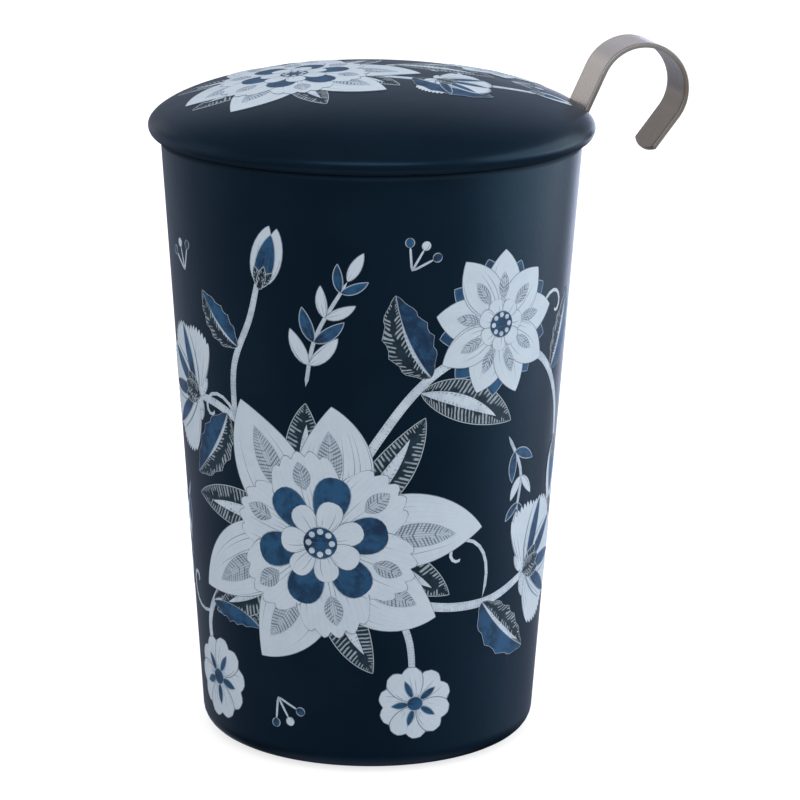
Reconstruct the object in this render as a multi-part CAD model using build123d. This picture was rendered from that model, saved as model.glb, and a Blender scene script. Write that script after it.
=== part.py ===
from build123d import *
from math import cos, radians, sqrt, tan
import os

# Lidded tea mug with a lift-out infuser. Millimetres, +Z up.
# Origin: centre of the foot, on the table. The infuser's handle lies along +X.

# ---------------------------------------------------------------- driving dimensions

# double-walled mug
RIM_Z = 119.5  # height of the rim above the table
RIM_R = 41.1  # outer radius at the rim
BODY_TAPER = 3.93  # slope of the outside, degrees
OUTER_WALL = 2.3  # thickness of the outer shell
OUTER_CORNER_R = 4.0  # rounding between the side and the foot
RIM_ROUND = 1.0  # rounding of both edges of the rim
BASE_THICK = 3.2  # from the table to the top of the outer shell's base
FOOT_RECESS = 1.0  # hollow under the base, inside the foot ring
FOOT_RING_WIDTH = 6.5  # flat ring that the mug stands on
LIP_WIDTH = 5.6  # both walls together, across the rim
LINER_TAPER = 4.3  # slope of the liner's wall, degrees
LINER_WALL = 2.0
LINER_FLOOR = 2.4
LINER_CORNER_R = 3.0
FLOOR_AIR_GAP = 3.4  # air under the liner's floor
FLANGE_THICK = 2.6  # rim flange that hangs the liner in the outer shell
FLANGE_SEAT = 1.0  # width of the ledge under the flange

# vent plug in the base
VENT_R = 2.5
PLUG_HEAD_R = 4.0
PLUG_HEAD_THICK = 0.7
PLUG_BARB_R = 3.1
PLUG_BARB_THICK = 0.9

# lid
LID_OVERHANG = 2.4  # widest line beyond the rim
LID_EDGE_HEIGHT = 2.2  # widest line above the rim
LID_DOME = 10.9  # crown above the widest line
LID_FULLNESS = 1.8  # exponent of the dome's curve, 2 is an ellipse
LID_THICK = 3.5
SEAT_OVERHANG = 0.5  # lid's flat seat beyond the rim
COLLAR_CLEARANCE = 0.6  # collar to the mouth
COLLAR_WALL = 2.9
COLLAR_DEPTH = 5.0
COLLAR_ROUND = 0.9  # rounding of the collar's lower edges
COLLAR_FILLET = 2.0  # rounding between the collar and the dome inside

# infuser basket
SHEET = 0.6  # basket sheet
FOOT_CLEARANCE = 0.4  # foot ring to the liner's rounded corner
FOOT_RING_HEIGHT = 4.0
FOOT_RING_WALL = 1.6
FLOOR_DISC_PLAY = 0.1  # floor disc to the sheet around it
BASKET_TOP_DROP = 15.5  # basket's upper edge below the rim
HEM_HEIGHT = 3.0
HEM_WALL = 1.4
HEM_ROUND = 0.6
HOLE_R = 1.0
ROW_PITCH = 9.0  # between rows of holes in the side
HOLES_ROUND = 16  # holes in a row
TOP_BAND = 14.0  # plain sheet below the hem
BOTTOM_BAND = 5.0  # plain sheet above the foot ring
FLOOR_PITCH = 5.2  # between holes in the floor
FLOOR_MARGIN = 3.0  # plain edge of the floor disc

# handle strip
STRIP_WIDTH = 11.4
STRIP_THICK = 1.0
STRIP_OVERLAP = 16.0  # stretch that lies on the basket, below its upper edge
RIM_GAP = 0.3  # strip to the rim that it crosses
BEND_R = 2.0  # centre line radius of both tight bends
CORNER_INSET = 0.7  # outer bend's corner inside the rim's outer edge
LEAN = 24.6  # rising leg, degrees from upright
CREST_RISE = 16.8  # centre line of the crook's crest above the rim
CROOK_R = 8.9  # centre line radius of the crook
LEG_ANGLE = 37.3  # falling leg, degrees from upright
LEG_LENGTH = 7.8  # straight part of the falling leg
TIP_SAG = 1.1  # rise of the rounded tip
EDGE_ROUND = 0.2  # rounding of the strip's long edges
WELD_R = 2.0
WELD_PROUD = 0.25
WELD_EDGE = 5.5  # upper weld below the basket's upper edge
WELD_PITCH = 6.5
WELD_COUNT = 2

# room for the strip in the lid
SLOT_SIDE_CLEARANCE = 0.75
SLOT_ROOF_CLEARANCE = 0.5
NOTCH_CLEARANCE = 0.6

# ---------------------------------------------------------------- derived sizes

body_slope = tan(radians(BODY_TAPER))
liner_slope = tan(radians(LINER_TAPER))
liner_stretch = sqrt(1 + liner_slope**2)
mouth_r = RIM_R - LIP_WIDTH
floor_z = BASE_THICK + FLOOR_AIR_GAP + LINER_FLOOR
flange_r = RIM_R - OUTER_WALL + FLANGE_SEAT
flange_z = RIM_Z - FLANGE_THICK
ring_top_z = floor_z + FOOT_RING_HEIGHT
basket_top_z = RIM_Z - BASKET_TOP_DROP
hem_z = basket_top_z - HEM_HEIGHT
lid_edge_z = RIM_Z + LID_EDGE_HEIGHT
strip_run_z = RIM_Z + RIM_GAP + STRIP_THICK / 2
strip_foot_z = basket_top_z - STRIP_OVERLAP
strip_offset = STRIP_THICK / 2 * liner_stretch
bend_x = RIM_R - CORNER_INSET


def body_r(z):
    """Outer radius of the mug's side at a height."""
    return RIM_R - body_slope * (RIM_Z - z)


def liner_r(z):
    """Inner radius of the liner at a height."""
    return mouth_r - liner_slope * (RIM_Z - z)


def flat_r(side_r, slope, z, radius):
    """Radius of the flat inside a rounded lower corner of a leaning side."""
    return side_r(z + radius) - radius * sqrt(1 + slope**2)


basket_foot_r = flat_r(liner_r, liner_slope, floor_z, LINER_CORNER_R) - FOOT_CLEARANCE


def basket_r(z):
    """Outer radius of the basket at a height: its side keeps the liner's slope."""
    return basket_foot_r + liner_slope * (z - floor_z)


def revolved(*outline):
    """Solid of revolution about Z, from (radius, height) points or curves of them."""
    if isinstance(outline[0], tuple):
        outline = [Polyline(*outline, close=True)]
    return revolve(Plane.XZ * make_face(Curve() + list(outline)), Axis.Z)


def round_edge(solid, r, z, radius):
    """Round the circular edge of a solid of revolution at a radius and a height."""
    corner = Vector(r, 0, z)
    rings = [e for e in solid.edges() if e.geom_type == GeomType.CIRCLE]
    ring = min(rings, key=lambda e: (Vector(e.radius, 0, e.arc_center.Z) - corner).length)
    return fillet(ring, radius)


# ---------------------------------------------------------------- mug


def outer_shell_r(z):
    """Inner radius of the outer shell at a height."""
    return body_r(z) - OUTER_WALL


def make_outer_wall():
    """Outer shell: tapered side, recessed base with a vent, ledge for the liner."""
    recess_r = flat_r(body_r, body_slope, 0, OUTER_CORNER_R) - FOOT_RING_WIDTH
    shell = revolved(
        (0, FOOT_RECESS),
        (recess_r, FOOT_RECESS),
        (recess_r + FOOT_RECESS, 0),
        (body_r(0), 0),
        (RIM_R, RIM_Z),
        (flange_r, RIM_Z),
        (flange_r, flange_z),
        (outer_shell_r(flange_z), flange_z),
        (outer_shell_r(BASE_THICK), BASE_THICK),
        (0, BASE_THICK),
    )
    shell = round_edge(shell, body_r(0), 0, OUTER_CORNER_R)
    shell = round_edge(shell, RIM_R, RIM_Z, min(RIM_ROUND, 0.8 * (RIM_R - flange_r)))
    shell = round_edge(shell, outer_shell_r(BASE_THICK), BASE_THICK, OUTER_CORNER_R / 2)
    return shell - Cylinder(VENT_R, 3 * BASE_THICK)


def make_inner_liner():
    """Inner cup: hangs in the outer shell by its rim flange, with air all round it."""
    wall = LINER_WALL * liner_stretch
    under_z = floor_z - LINER_FLOOR
    liner = revolved(
        (0, under_z),
        (liner_r(under_z) + wall, under_z),
        (liner_r(flange_z) + wall, flange_z),
        (flange_r, flange_z),
        (flange_r, RIM_Z),
        (mouth_r, RIM_Z),
        (liner_r(floor_z), floor_z),
        (0, floor_z),
    )
    liner = round_edge(liner, liner_r(floor_z), floor_z, LINER_CORNER_R)
    liner = round_edge(liner, mouth_r, RIM_Z, RIM_ROUND)
    return round_edge(liner, liner_r(under_z) + wall, under_z, LINER_CORNER_R)


def make_vent_plug():
    """Silicone plug in the base's vent, its head inside the foot's recess."""
    return revolved(
        (0, FOOT_RECESS - PLUG_HEAD_THICK),
        (PLUG_HEAD_R, FOOT_RECESS - PLUG_HEAD_THICK),
        (PLUG_HEAD_R, FOOT_RECESS),
        (VENT_R, FOOT_RECESS),
        (VENT_R, BASE_THICK),
        (PLUG_BARB_R, BASE_THICK),
        (VENT_R, BASE_THICK + PLUG_BARB_THICK),
        (0, BASE_THICK + PLUG_BARB_THICK),
    )


# ---------------------------------------------------------------- basket


def side_section(low_z, high_z, wall):
    """Ring of the basket's side between two heights."""
    return revolved(
        (basket_r(low_z), low_z),
        (basket_r(high_z), high_z),
        (basket_r(high_z) - wall, high_z),
        (basket_r(low_z) - wall, low_z),
    )


def make_basket_wall():
    """Tapered sheet with staggered rows of holes below a plain band for the handle."""
    rows = int((hem_z - TOP_BAND - ring_top_z - BOTTOM_BAND) / ROW_PITCH) + 1
    drill = Rot(0, 90, 0) * Cylinder(HOLE_R, 6 * SHEET)
    drills = []
    for row in range(rows):
        z = ring_top_z + BOTTOM_BAND + row * ROW_PITCH
        hole = Pos(basket_r(z) - SHEET / 2, 0, z) * drill
        angles = [360 / HOLES_ROUND * (i + row % 2 / 2) for i in range(HOLES_ROUND)]
        drills += [Rot(0, 0, angle) * hole for angle in angles]
    return side_section(ring_top_z, hem_z, SHEET) - drills


def make_basket_rim():
    """Folded hem that stiffens the basket's upper edge."""
    hem = side_section(hem_z, basket_top_z, HEM_WALL)
    hem = round_edge(hem, basket_r(basket_top_z), basket_top_z, HEM_ROUND)
    return round_edge(hem, basket_r(basket_top_z) - HEM_WALL, basket_top_z, HEM_ROUND)


def make_basket_floor():
    """Perforated disc that lies on the foot ring, inside the sheet."""
    disc_r = basket_r(ring_top_z) - SHEET - FLOOR_DISC_PLAY
    disc = Pos(0, 0, ring_top_z + SHEET / 2) * Cylinder(disc_r, SHEET)
    reach = int(disc_r / FLOOR_PITCH) + 1
    drill = Pos(0, 0, ring_top_z) * Cylinder(HOLE_R, 6 * SHEET)
    row_pitch = FLOOR_PITCH * sqrt(3) / 2
    centres = [
        Vector(FLOOR_PITCH * (i + j % 2 / 2), row_pitch * j)
        for i in range(-reach - 1, reach + 1)
        for j in range(-reach - 1, reach + 2)
    ]
    kept = [c for c in centres if c.length < disc_r - FLOOR_MARGIN]
    return disc - [Pos(c) * drill for c in kept]


def make_basket_foot():
    """Ring that carries the sheet and the floor disc, and stands on the mug's floor."""
    return side_section(floor_z, ring_top_z, FOOT_RING_WALL)


# ---------------------------------------------------------------- handle


def strip_side_line():
    """Centre line of the strip, seen from the side: x outwards, y up."""
    foot = Vector(basket_r(strip_foot_z) + strip_offset, strip_foot_z)
    inner_corner = Vector(basket_r(strip_run_z) + strip_offset, strip_run_z)
    outer_corner = Vector(bend_x, strip_run_z)
    inner_turn = 90 - LINER_TAPER
    outer_turn = 90 - LEAN
    inner_trim = (inner_corner - foot).normalized() * (BEND_R * tan(radians(inner_turn / 2)))
    outer_trim = Vector(BEND_R * tan(radians(outer_turn / 2)), 0)
    leaning = Vector(1, 0).rotate(Axis.Z, outer_turn)
    crook_start_z = RIM_Z + CREST_RISE - CROOK_R * (1 - cos(radians(outer_turn)))
    crook_start = outer_corner + leaning * ((crook_start_z - strip_run_z) / leaning.Y)

    rise = Line(foot, inner_corner - inner_trim)
    inner_bend = JernArc(rise @ 1, rise % 1, BEND_R, -inner_turn)
    run = Line(inner_bend @ 1, outer_corner - outer_trim)
    outer_bend = JernArc(run @ 1, run % 1, BEND_R, outer_turn)
    lean = Line(outer_bend @ 1, crook_start)
    crook = JernArc(lean @ 1, lean % 1, CROOK_R, -(outer_turn + 90 + LEG_ANGLE))
    return Curve() + [rise, inner_bend, run, outer_bend, lean, crook]


def make_falling_leg(crook):
    """Flat end of the strip past the crook, with a rounded tip."""
    start = Plane.XZ.from_local_coords(crook @ 1)
    along = Plane.XZ.from_local_coords(crook % 1)
    surface = Plane(origin=start, x_dir=along, z_dir=along.cross(Vector(0, 1, 0)))
    half = STRIP_WIDTH / 2
    sides = Polyline((LEG_LENGTH, half), (0, half), (0, -half), (LEG_LENGTH, -half))
    tip = ThreePointArc((LEG_LENGTH, -half), (LEG_LENGTH + TIP_SAG, 0), (LEG_LENGTH, half))
    return extrude(surface * make_face(sides + tip), STRIP_THICK / 2, both=True)


def weld_planes():
    """Places on the strip's centre line where it is welded, facing outwards."""
    heights = [basket_top_z - WELD_EDGE - i * WELD_PITCH for i in range(WELD_COUNT)]
    origins = [(basket_r(z) + strip_offset, 0, z) for z in heights]
    return [Plane(origin=o, x_dir=(0, 1, 0), z_dir=(1, 0, -liner_slope)) for o in origins]


def make_handle_strip():
    """Flat steel strip: up beside the basket, over the rim, and round into a crook."""
    line = strip_side_line()
    strip = extrude(Plane.XZ * trace(line, STRIP_THICK), STRIP_WIDTH / 2, both=True)
    strip += make_falling_leg(line.edges()[-1])
    side_faces = [f for f in strip.faces() if abs(abs(f.normal_at().Y) - 1) < 1e-6]
    long_edges = [e for f in side_faces for e in f.edges() if e.length > 1.5 * STRIP_THICK]
    strip = fillet(long_edges, EDGE_ROUND)
    return strip - [plane * Cylinder(WELD_R, 3 * STRIP_THICK) for plane in weld_planes()]


def make_handle_welds():
    """Plug welds: each fills a hole in the strip and bears on the basket's outside."""
    basket = revolved((0, 0), (basket_r(0), 0), (basket_r(RIM_Z), RIM_Z), (0, RIM_Z))
    plug = Pos(0, 0, WELD_PROUD / 2) * Cylinder(WELD_R, STRIP_THICK + WELD_PROUD)
    root = Pos(0, 0, -STRIP_THICK / 2) * Cylinder(WELD_R, SHEET)
    return Compound([(plane * (plug + root) - basket).solid() for plane in weld_planes()])


# ---------------------------------------------------------------- lid


def dome_z(r):
    """Height of the lid's top at a radius: a superellipse."""
    share = (r / (RIM_R + LID_OVERHANG)) ** LID_FULLNESS
    return lid_edge_z + LID_DOME * (1 - share) ** (1 / LID_FULLNESS)


def make_lid_blank():
    """Domed lid in one casting: bulging edge, flat seat, collar that enters the mouth."""
    lid_r = RIM_R + LID_OVERHANG
    seat_r = RIM_R + SEAT_OVERHANG
    collar_r = mouth_r - COLLAR_CLEARANCE
    hollow_r = collar_r - COLLAR_WALL
    collar_z = RIM_Z - COLLAR_DEPTH
    top_shares = [0, 0.3, 0.55, 0.75, 0.88, 0.96, 0.99, 1]
    top = Spline([(lid_r * s, dome_z(lid_r * s)) for s in top_shares], tangents=[(1, 0), (0, -1)])
    edge = EllipticalCenterArc(
        (seat_r, lid_edge_z), lid_r - seat_r, LID_EDGE_HEIGHT, start_angle=270, arc_size=90
    )
    inside = Spline(
        [(hollow_r * s, dome_z(hollow_r * s) - LID_THICK) for s in (1, 0.75, 0.5, 0.25, 0)],
        tangents=[(-1, 0.3), (-1, 0)],
    )
    seat_and_collar = Polyline(
        (seat_r, RIM_Z), (collar_r, RIM_Z), (collar_r, collar_z), (hollow_r, collar_z), inside @ 0
    )
    blank = revolved(top, edge, seat_and_collar, inside, Line(inside @ 1, top @ 0))
    blank = round_edge(blank, hollow_r, (inside @ 0).Y, COLLAR_FILLET)
    blank = round_edge(blank, collar_r, collar_z, COLLAR_ROUND)
    return round_edge(blank, hollow_r, collar_z, COLLAR_ROUND)


def make_lid():
    """Lid with a low slot for the strip's run and an open notch for its rising leg."""
    slot_half = STRIP_WIDTH / 2 + SLOT_SIDE_CLEARANCE
    roof_z = strip_run_z + STRIP_THICK / 2 + SLOT_ROOF_CLEARANCE
    below_z = RIM_Z - 2 * COLLAR_DEPTH
    above_z = lid_edge_z + LID_DOME
    slot_x = strip_side_line().bounding_box().min.X - STRIP_THICK - NOTCH_CLEARANCE
    beyond_x = RIM_R + 3 * LID_OVERHANG
    lean = radians(LEAN)
    leg_gap = (STRIP_THICK / 2 + NOTCH_CLEARANCE) / cos(lean)
    notch_x = bend_x + (roof_z - strip_run_z) * tan(lean) - leg_gap
    room = Polyline(
        (slot_x, below_z),
        (beyond_x, below_z),
        (beyond_x, above_z),
        (notch_x + (above_z - roof_z) * tan(lean), above_z),
        (notch_x, roof_z),
        (slot_x, roof_z),
        close=True,
    )
    return make_lid_blank() - extrude(Plane.XZ * make_face(room), slot_half, both=True)


# ---------------------------------------------------------------- parts

NODES = {
    "mug_outer_wall": make_outer_wall,
    "mug_inner_liner": make_inner_liner,
    "vent_plug": make_vent_plug,
    "basket_wall": make_basket_wall,
    "basket_rim": make_basket_rim,
    "basket_floor": make_basket_floor,
    "basket_foot": make_basket_foot,
    "handle_strip": make_handle_strip,
    "handle_welds": make_handle_welds,
    "lid": make_lid,
}

os.makedirs("parts", exist_ok=True)
for name, make in NODES.items():
    export_step(make(), f"parts/{name}.step")
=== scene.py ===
"""Lidded tea mug with a lift-out infuser: surfaces, printed flowers, studio and camera."""
import logging
import math
from contextlib import contextmanager
from dataclasses import dataclass, field
from enum import Enum
from typing import Iterator, Optional, Sequence

import bpy
from mathutils import Matrix, Vector
from mathutils.kdtree import KDTree


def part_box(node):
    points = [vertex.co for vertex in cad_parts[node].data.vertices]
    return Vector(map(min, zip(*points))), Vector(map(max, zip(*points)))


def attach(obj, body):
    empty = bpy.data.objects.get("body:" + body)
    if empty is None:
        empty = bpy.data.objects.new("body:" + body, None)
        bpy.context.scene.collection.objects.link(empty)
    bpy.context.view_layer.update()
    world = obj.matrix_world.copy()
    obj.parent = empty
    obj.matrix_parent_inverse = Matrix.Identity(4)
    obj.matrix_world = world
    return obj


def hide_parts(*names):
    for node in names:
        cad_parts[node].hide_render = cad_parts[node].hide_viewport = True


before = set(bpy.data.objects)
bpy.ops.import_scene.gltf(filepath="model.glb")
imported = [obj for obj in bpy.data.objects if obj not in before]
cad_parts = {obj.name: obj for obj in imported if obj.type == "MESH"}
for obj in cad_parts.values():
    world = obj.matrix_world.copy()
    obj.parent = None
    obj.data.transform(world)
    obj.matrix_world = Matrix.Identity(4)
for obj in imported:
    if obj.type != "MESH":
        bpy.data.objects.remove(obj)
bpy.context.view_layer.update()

LOG = logging.getLogger("tea_mug")
MM = 0.001
TINY = 1e-6
VIEW_DEG = -14.0  # azimuth of the camera, towards which the print and the studio are turned
ROW_SHARE = 0.866  # from row to row of staggered holes, as a share of their pitch
HASH = (12.9898, 78.233)  # weights that scatter an index and a seed under a sine
GOLDEN_SHARE = 0.6180339
Point = tuple[float, float]
Run = tuple[float, float]  # length, and turn in degrees
Colour = tuple[float, float, float]


# ------------------------------------------------------------------ sizes


@dataclass(frozen=True)
class MugSizes:
    """Both walls of the mug and the basket inside them, in millimetres."""

    rim_z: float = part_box("mug_outer_wall")[1][2] / MM
    rim_r: float = 41.1
    taper_deg: float = 3.93
    wall: float = 2.3
    corner_r: float = 4.0
    rim_round: float = 1.0
    base_thick: float = 3.2
    recess: float = 1.0
    foot_ring: float = 6.5
    flange_r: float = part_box("mug_inner_liner")[1][0] / MM
    flange_thick: float = 2.6
    mouth_r: float = 35.5
    liner_taper_deg: float = 4.3
    liner_wall: float = 2.0
    liner_corner_r: float = 3.0
    disc_r: float = 8.0
    liner_under_z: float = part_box("mug_inner_liner")[0][2] / MM
    floor_z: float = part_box("basket_foot")[0][2] / MM
    vent_r: float = 2.5
    plug_low_z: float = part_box("vent_plug")[0][2] / MM
    plug_high_z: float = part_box("vent_plug")[1][2] / MM
    plug_head_r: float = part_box("vent_plug")[1][0] / MM
    plug_waist_r: float = 3.1
    plug_dimple_r: float = 1.2
    plug_dimple: float = 0.15

    def body_r(self, z: float) -> float:
        """Outer radius of the mug's side at a height."""
        return self.rim_r - math.tan(math.radians(self.taper_deg)) * (self.rim_z - z)

    def liner_r(self, z: float) -> float:
        """Inner radius of the liner at a height."""
        return self.mouth_r - math.tan(math.radians(self.liner_taper_deg)) * (self.rim_z - z)


@dataclass(frozen=True)
class BasketSizes:
    """The infuser's basket, in millimetres."""

    foot_z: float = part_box("basket_foot")[0][2] / MM
    ring_z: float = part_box("basket_foot")[1][2] / MM
    hem_z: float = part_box("basket_rim")[0][2] / MM
    top_z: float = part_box("basket_rim")[1][2] / MM
    ring_r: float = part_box("basket_foot")[1][0] / MM
    floor_r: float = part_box("basket_floor")[1][0] / MM
    taper_deg: float = 4.3
    sheet: float = 0.6
    ring_wall: float = 1.6
    hem_wall: float = 1.4
    plain_top: float = 12.5
    plain_bottom: float = 3.5
    hole_pitch: float = 2.2
    hole_r: float = 0.55
    round_profile: float = 0.1786
    floor_spread: float = 1.15
    floor_margin: float = 3.0
    hem_round: float = 0.65
    weld_r: float = 2.0
    weld_proud: float = 0.25
    weld_drops: tuple[float, float] = (5.5, 12.0)

    def radius(self, z: float) -> float:
        """Outer radius of the basket at a height."""
        return self.ring_r + math.tan(math.radians(self.taper_deg)) * (z - self.ring_z)


@dataclass(frozen=True)
class LidSizes:
    """The lid's casting, in millimetres."""

    edge_r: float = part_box("lid")[1][1] / MM
    top_z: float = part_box("lid")[1][2] / MM
    collar_z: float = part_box("lid")[0][2] / MM
    edge_rise: float = 2.2
    fullness: float = 1.8
    thick: float = 3.5
    seat_r: float = 41.6
    collar_r: float = 34.9
    collar_wall: float = 2.9
    collar_round: float = 0.9
    hollow_fillet: float = 2.0
    slot_half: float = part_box("handle_strip")[1][1] / MM + 0.75
    slot_x: float = 29.8
    slot_roof_z: float = 121.3
    notch_x: float = 39.66
    notch_lean_deg: float = 24.6
    notch_corner: float = 1.4
    notch_round: float = 0.45
    overshoot: float = 4.0

    def dome_z(self, r: float, rim_z: float) -> float:
        """Height of the lid's top, a superellipse.

        Args:
            r: distance from the axis.
            rim_z: height of the rim that the lid lies on.

        Returns:
            The height in millimetres.
        """
        edge_z = rim_z + self.edge_rise
        share = min(1.0, r / self.edge_r) ** self.fullness
        return edge_z + (self.top_z - edge_z) * (1 - share) ** (1 / self.fullness)


@dataclass(frozen=True)
class StripSizes:
    """The infuser's handle strip, in millimetres and degrees."""

    width: float = 2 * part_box("handle_strip")[1][1] / MM
    foot_z: float = 88.0
    thick: float = 1.0
    run_z: float = 120.3
    bend_x: float = 40.4
    bend_r: float = 2.0
    lean_deg: float = 24.6
    crest_z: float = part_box("handle_strip")[1][2] / MM - 0.5
    crook_r: float = 8.9
    leg_deg: float = 37.3
    leg: float = 7.8
    tip_sag: float = 1.1
    foot_sag: float = 1.7
    edge_round: float = 0.22
    cell: float = 0.55


MUG = MugSizes()
BASKET = BasketSizes()
LID = LidSizes()
STRIP = StripSizes()


# ------------------------------------------------------------------ modelling


class Bench:
    """Modelling moves made with Blender's own operators."""

    @staticmethod
    def take(obj: bpy.types.Object) -> None:
        """Deselect everything, then select one object and make it active.

        Args:
            obj: the object.
        """
        bpy.ops.object.select_all(action="DESELECT")
        obj.select_set(True)
        bpy.context.view_layer.objects.active = obj

    @classmethod
    @contextmanager
    def editing(cls, obj: bpy.types.Object, select: str = "SELECT", kind: str = "") -> Iterator[None]:
        """Hold an object in edit mode.

        Args:
            obj: the object.
            select: SELECT or DESELECT for all of it, or nothing to keep what is selected.
            kind: VERT, EDGE or FACE, or nothing to keep the kind.

        Returns:
            A context that leaves edit mode at its end.
        """
        cls.take(obj)
        bpy.ops.object.mode_set(mode="EDIT")
        if kind:
            bpy.ops.mesh.select_mode(type=kind)
        if select:
            bpy.ops.mesh.select_all(action=select)
        yield
        bpy.ops.object.mode_set(mode="OBJECT")

    @classmethod
    def mark(cls, obj: bpy.types.Object, kind: str, chosen: Sequence[bool]) -> None:
        """Select some parts of a mesh and nothing else.

        Args:
            obj: the object.
            kind: VERT, EDGE or FACE.
            chosen: whether each of them is selected, in the mesh's order.
        """
        with cls.editing(obj, "DESELECT", kind):
            pass
        mesh = obj.data
        parts = {"VERT": mesh.vertices, "EDGE": mesh.edges, "FACE": mesh.polygons}[kind]
        parts.foreach_set("select", chosen)

    @classmethod
    def added(cls, name: str) -> bpy.types.Object:
        """Name the primitive that was just added and put its place into its mesh.

        Args:
            name: the object's and the mesh's name.

        Returns:
            The primitive, selected alone.
        """
        obj = bpy.context.object
        obj.name = name
        obj.data.name = name
        cls.take(obj)
        bpy.ops.object.transform_apply(location=True, rotation=True, scale=True)
        return obj

    @classmethod
    def modify(cls, obj: bpy.types.Object, kind: str, **settings: object) -> None:
        """Add a modifier and apply it.

        Args:
            obj: the object.
            kind: the modifier's type.
            settings: its properties.
        """
        cls.take(obj)
        modifier = obj.modifiers.new(kind.title(), kind)
        for key, value in settings.items():
            setattr(modifier, key, value)
        bpy.ops.object.modifier_apply(modifier=modifier.name)

    @classmethod
    def tidy(cls, obj: bpy.types.Object, recalculate: bool = True, gap: float = TINY) -> None:
        """Merge doubled vertices.

        Args:
            obj: the object.
            recalculate: whether to point its faces outwards too.
            gap: distance in metres up to which vertices are merged.
        """
        with cls.editing(obj):
            bpy.ops.mesh.remove_doubles(threshold=gap)
            if recalculate:
                bpy.ops.mesh.normals_make_consistent(inside=False)

    @classmethod
    def smooth(cls, obj: bpy.types.Object, degrees: float = 35.0) -> None:
        """Shade smooth, and keep edges sharper than an angle."""
        cls.take(obj)
        bpy.ops.object.shade_smooth_by_angle(angle=math.radians(degrees))

    @classmethod
    def join(cls, name: str, pieces: Sequence[bpy.types.Object]) -> bpy.types.Object:
        """Join several objects into the first.

        Args:
            name: the joined object's name.
            pieces: the objects.

        Returns:
            The first of them, with the rest in its mesh.
        """
        cls.take(pieces[0])
        for piece in pieces:
            piece.select_set(True)
        if len(pieces) > 1:
            bpy.ops.object.join()
        pieces[0].name = name
        pieces[0].data.name = name
        return pieces[0]

    @classmethod
    def combine(cls, obj: bpy.types.Object, tool: bpy.types.Object, operation: str) -> None:
        """Cut a solid out of an object (DIFFERENCE) or add it (UNION), and remove the solid."""
        cls.modify(obj, "BOOLEAN", operation=operation, object=tool, solver="EXACT")
        bpy.data.objects.remove(tool)

    @classmethod
    def repeat(cls, name: str, first: bpy.types.Object, places: Sequence[Matrix]) -> bpy.types.Object:
        """Set a copy of an object at each place and remove the object itself.

        Args:
            name: the joined object's name.
            first: the object.
            places: how each copy's mesh is moved.

        Returns:
            The copies, joined.
        """
        copies = []
        for place in places:
            copy = bpy.data.objects.new(name, first.data.copy())
            copy.data.transform(place)
            bpy.context.scene.collection.objects.link(copy)
            copies.append(copy)
        bpy.data.objects.remove(first)
        return cls.join(name, copies)

    @classmethod
    def lathe(cls, name: str, profile: Sequence[Point], segments: int = 192) -> bpy.types.Object:
        """Turn a profile into a closed solid of revolution.

        Args:
            name: the new object's name.
            profile: (radius, height) points in millimetres. A profile that starts on the
                axis has a flat disc there; one that ends on the axis closes at a pole, and
                any other closes on its own start.
            segments: faces round the turn.

        Returns:
            The new object, with its faces outwards.
        """
        solid = profile[0][0] < TINY
        rings = list(profile[1:] if solid else profile)
        if not solid:
            rings.append(rings[0])
        radius, height = rings[0]
        bpy.ops.mesh.primitive_circle_add(
            vertices=segments,
            radius=radius * MM,
            location=(0, 0, height * MM),
            fill_type="TRIFAN" if solid else "NOTHING",
        )
        obj = cls.added(name)
        with cls.editing(obj, "DESELECT" if solid else "SELECT", "EDGE"):
            if solid:
                bpy.ops.mesh.select_non_manifold()
            for r, z in rings[1:]:
                rise = {"value": (0, 0, (z - height) * MM)}
                bpy.ops.mesh.extrude_edges_move(TRANSFORM_OT_translate=rise)
                if r < TINY:
                    bpy.ops.mesh.merge(type="CENTER")
                    break
                share = r / radius
                bpy.ops.transform.resize(value=(share, share, 1), center_override=(0, 0, z * MM))
                radius, height = r, z
        cls.tidy(obj)
        cls.smooth(obj)
        return obj


def arc(centre: Point, radius: float, start: float, end: float, steps: int) -> list[Point]:
    """Points of a circular arc, from one angle to another in degrees."""
    turns = [math.radians(start + (end - start) * i / steps) for i in range(steps + 1)]
    return [(centre[0] + radius * math.cos(t), centre[1] + radius * math.sin(t)) for t in turns]


def rounded(corners: Sequence[tuple[float, float, float]], support: float = 0.35,
            step_deg: float = 12.0) -> list[Point]:
    """Open outline through corners, each with its own rounding.

    Args:
        corners: (radius, height, rounding) of each corner.
        support: distance of the extra points that keep long straight runs straight.
        step_deg: turn from point to point of an arc.

    Returns:
        The outline's points, with an arc at each rounded corner.
    """
    points: list[Point] = []
    for i, (x, y, r) in enumerate(corners):
        if r <= 0 or i in (0, len(corners) - 1):
            stretch = [(x, y)]
        else:
            here = Vector((x, y))
            back = (Vector(corners[i - 1][:2]) - here).normalized()
            ahead = (Vector(corners[i + 1][:2]) - here).normalized()
            half = back.angle(ahead) / 2
            trim = r / math.tan(half)
            centre = here + (back + ahead).normalized() * (r / math.sin(half))
            start = here + back * trim - centre
            turn = math.atan2(*(start.to_tuple()[::-1]))
            sweep = (math.pi - 2 * half) * (1 if back.cross(ahead) < 0 else -1)
            steps = max(3, round(abs(math.degrees(sweep)) / step_deg))
            stretch = arc(tuple(centre), r, math.degrees(turn), math.degrees(turn + sweep), steps)
        if points:
            ahead = Vector(stretch[0]) - Vector(points[-1])
            if ahead.length > 4 * support:
                step = ahead.normalized() * support
                points.append(tuple(Vector(points[-1]) + step))
                points.append(tuple(Vector(stretch[0]) - step))
        points += stretch
    return points


# ------------------------------------------------------------------ shader maths


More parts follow.
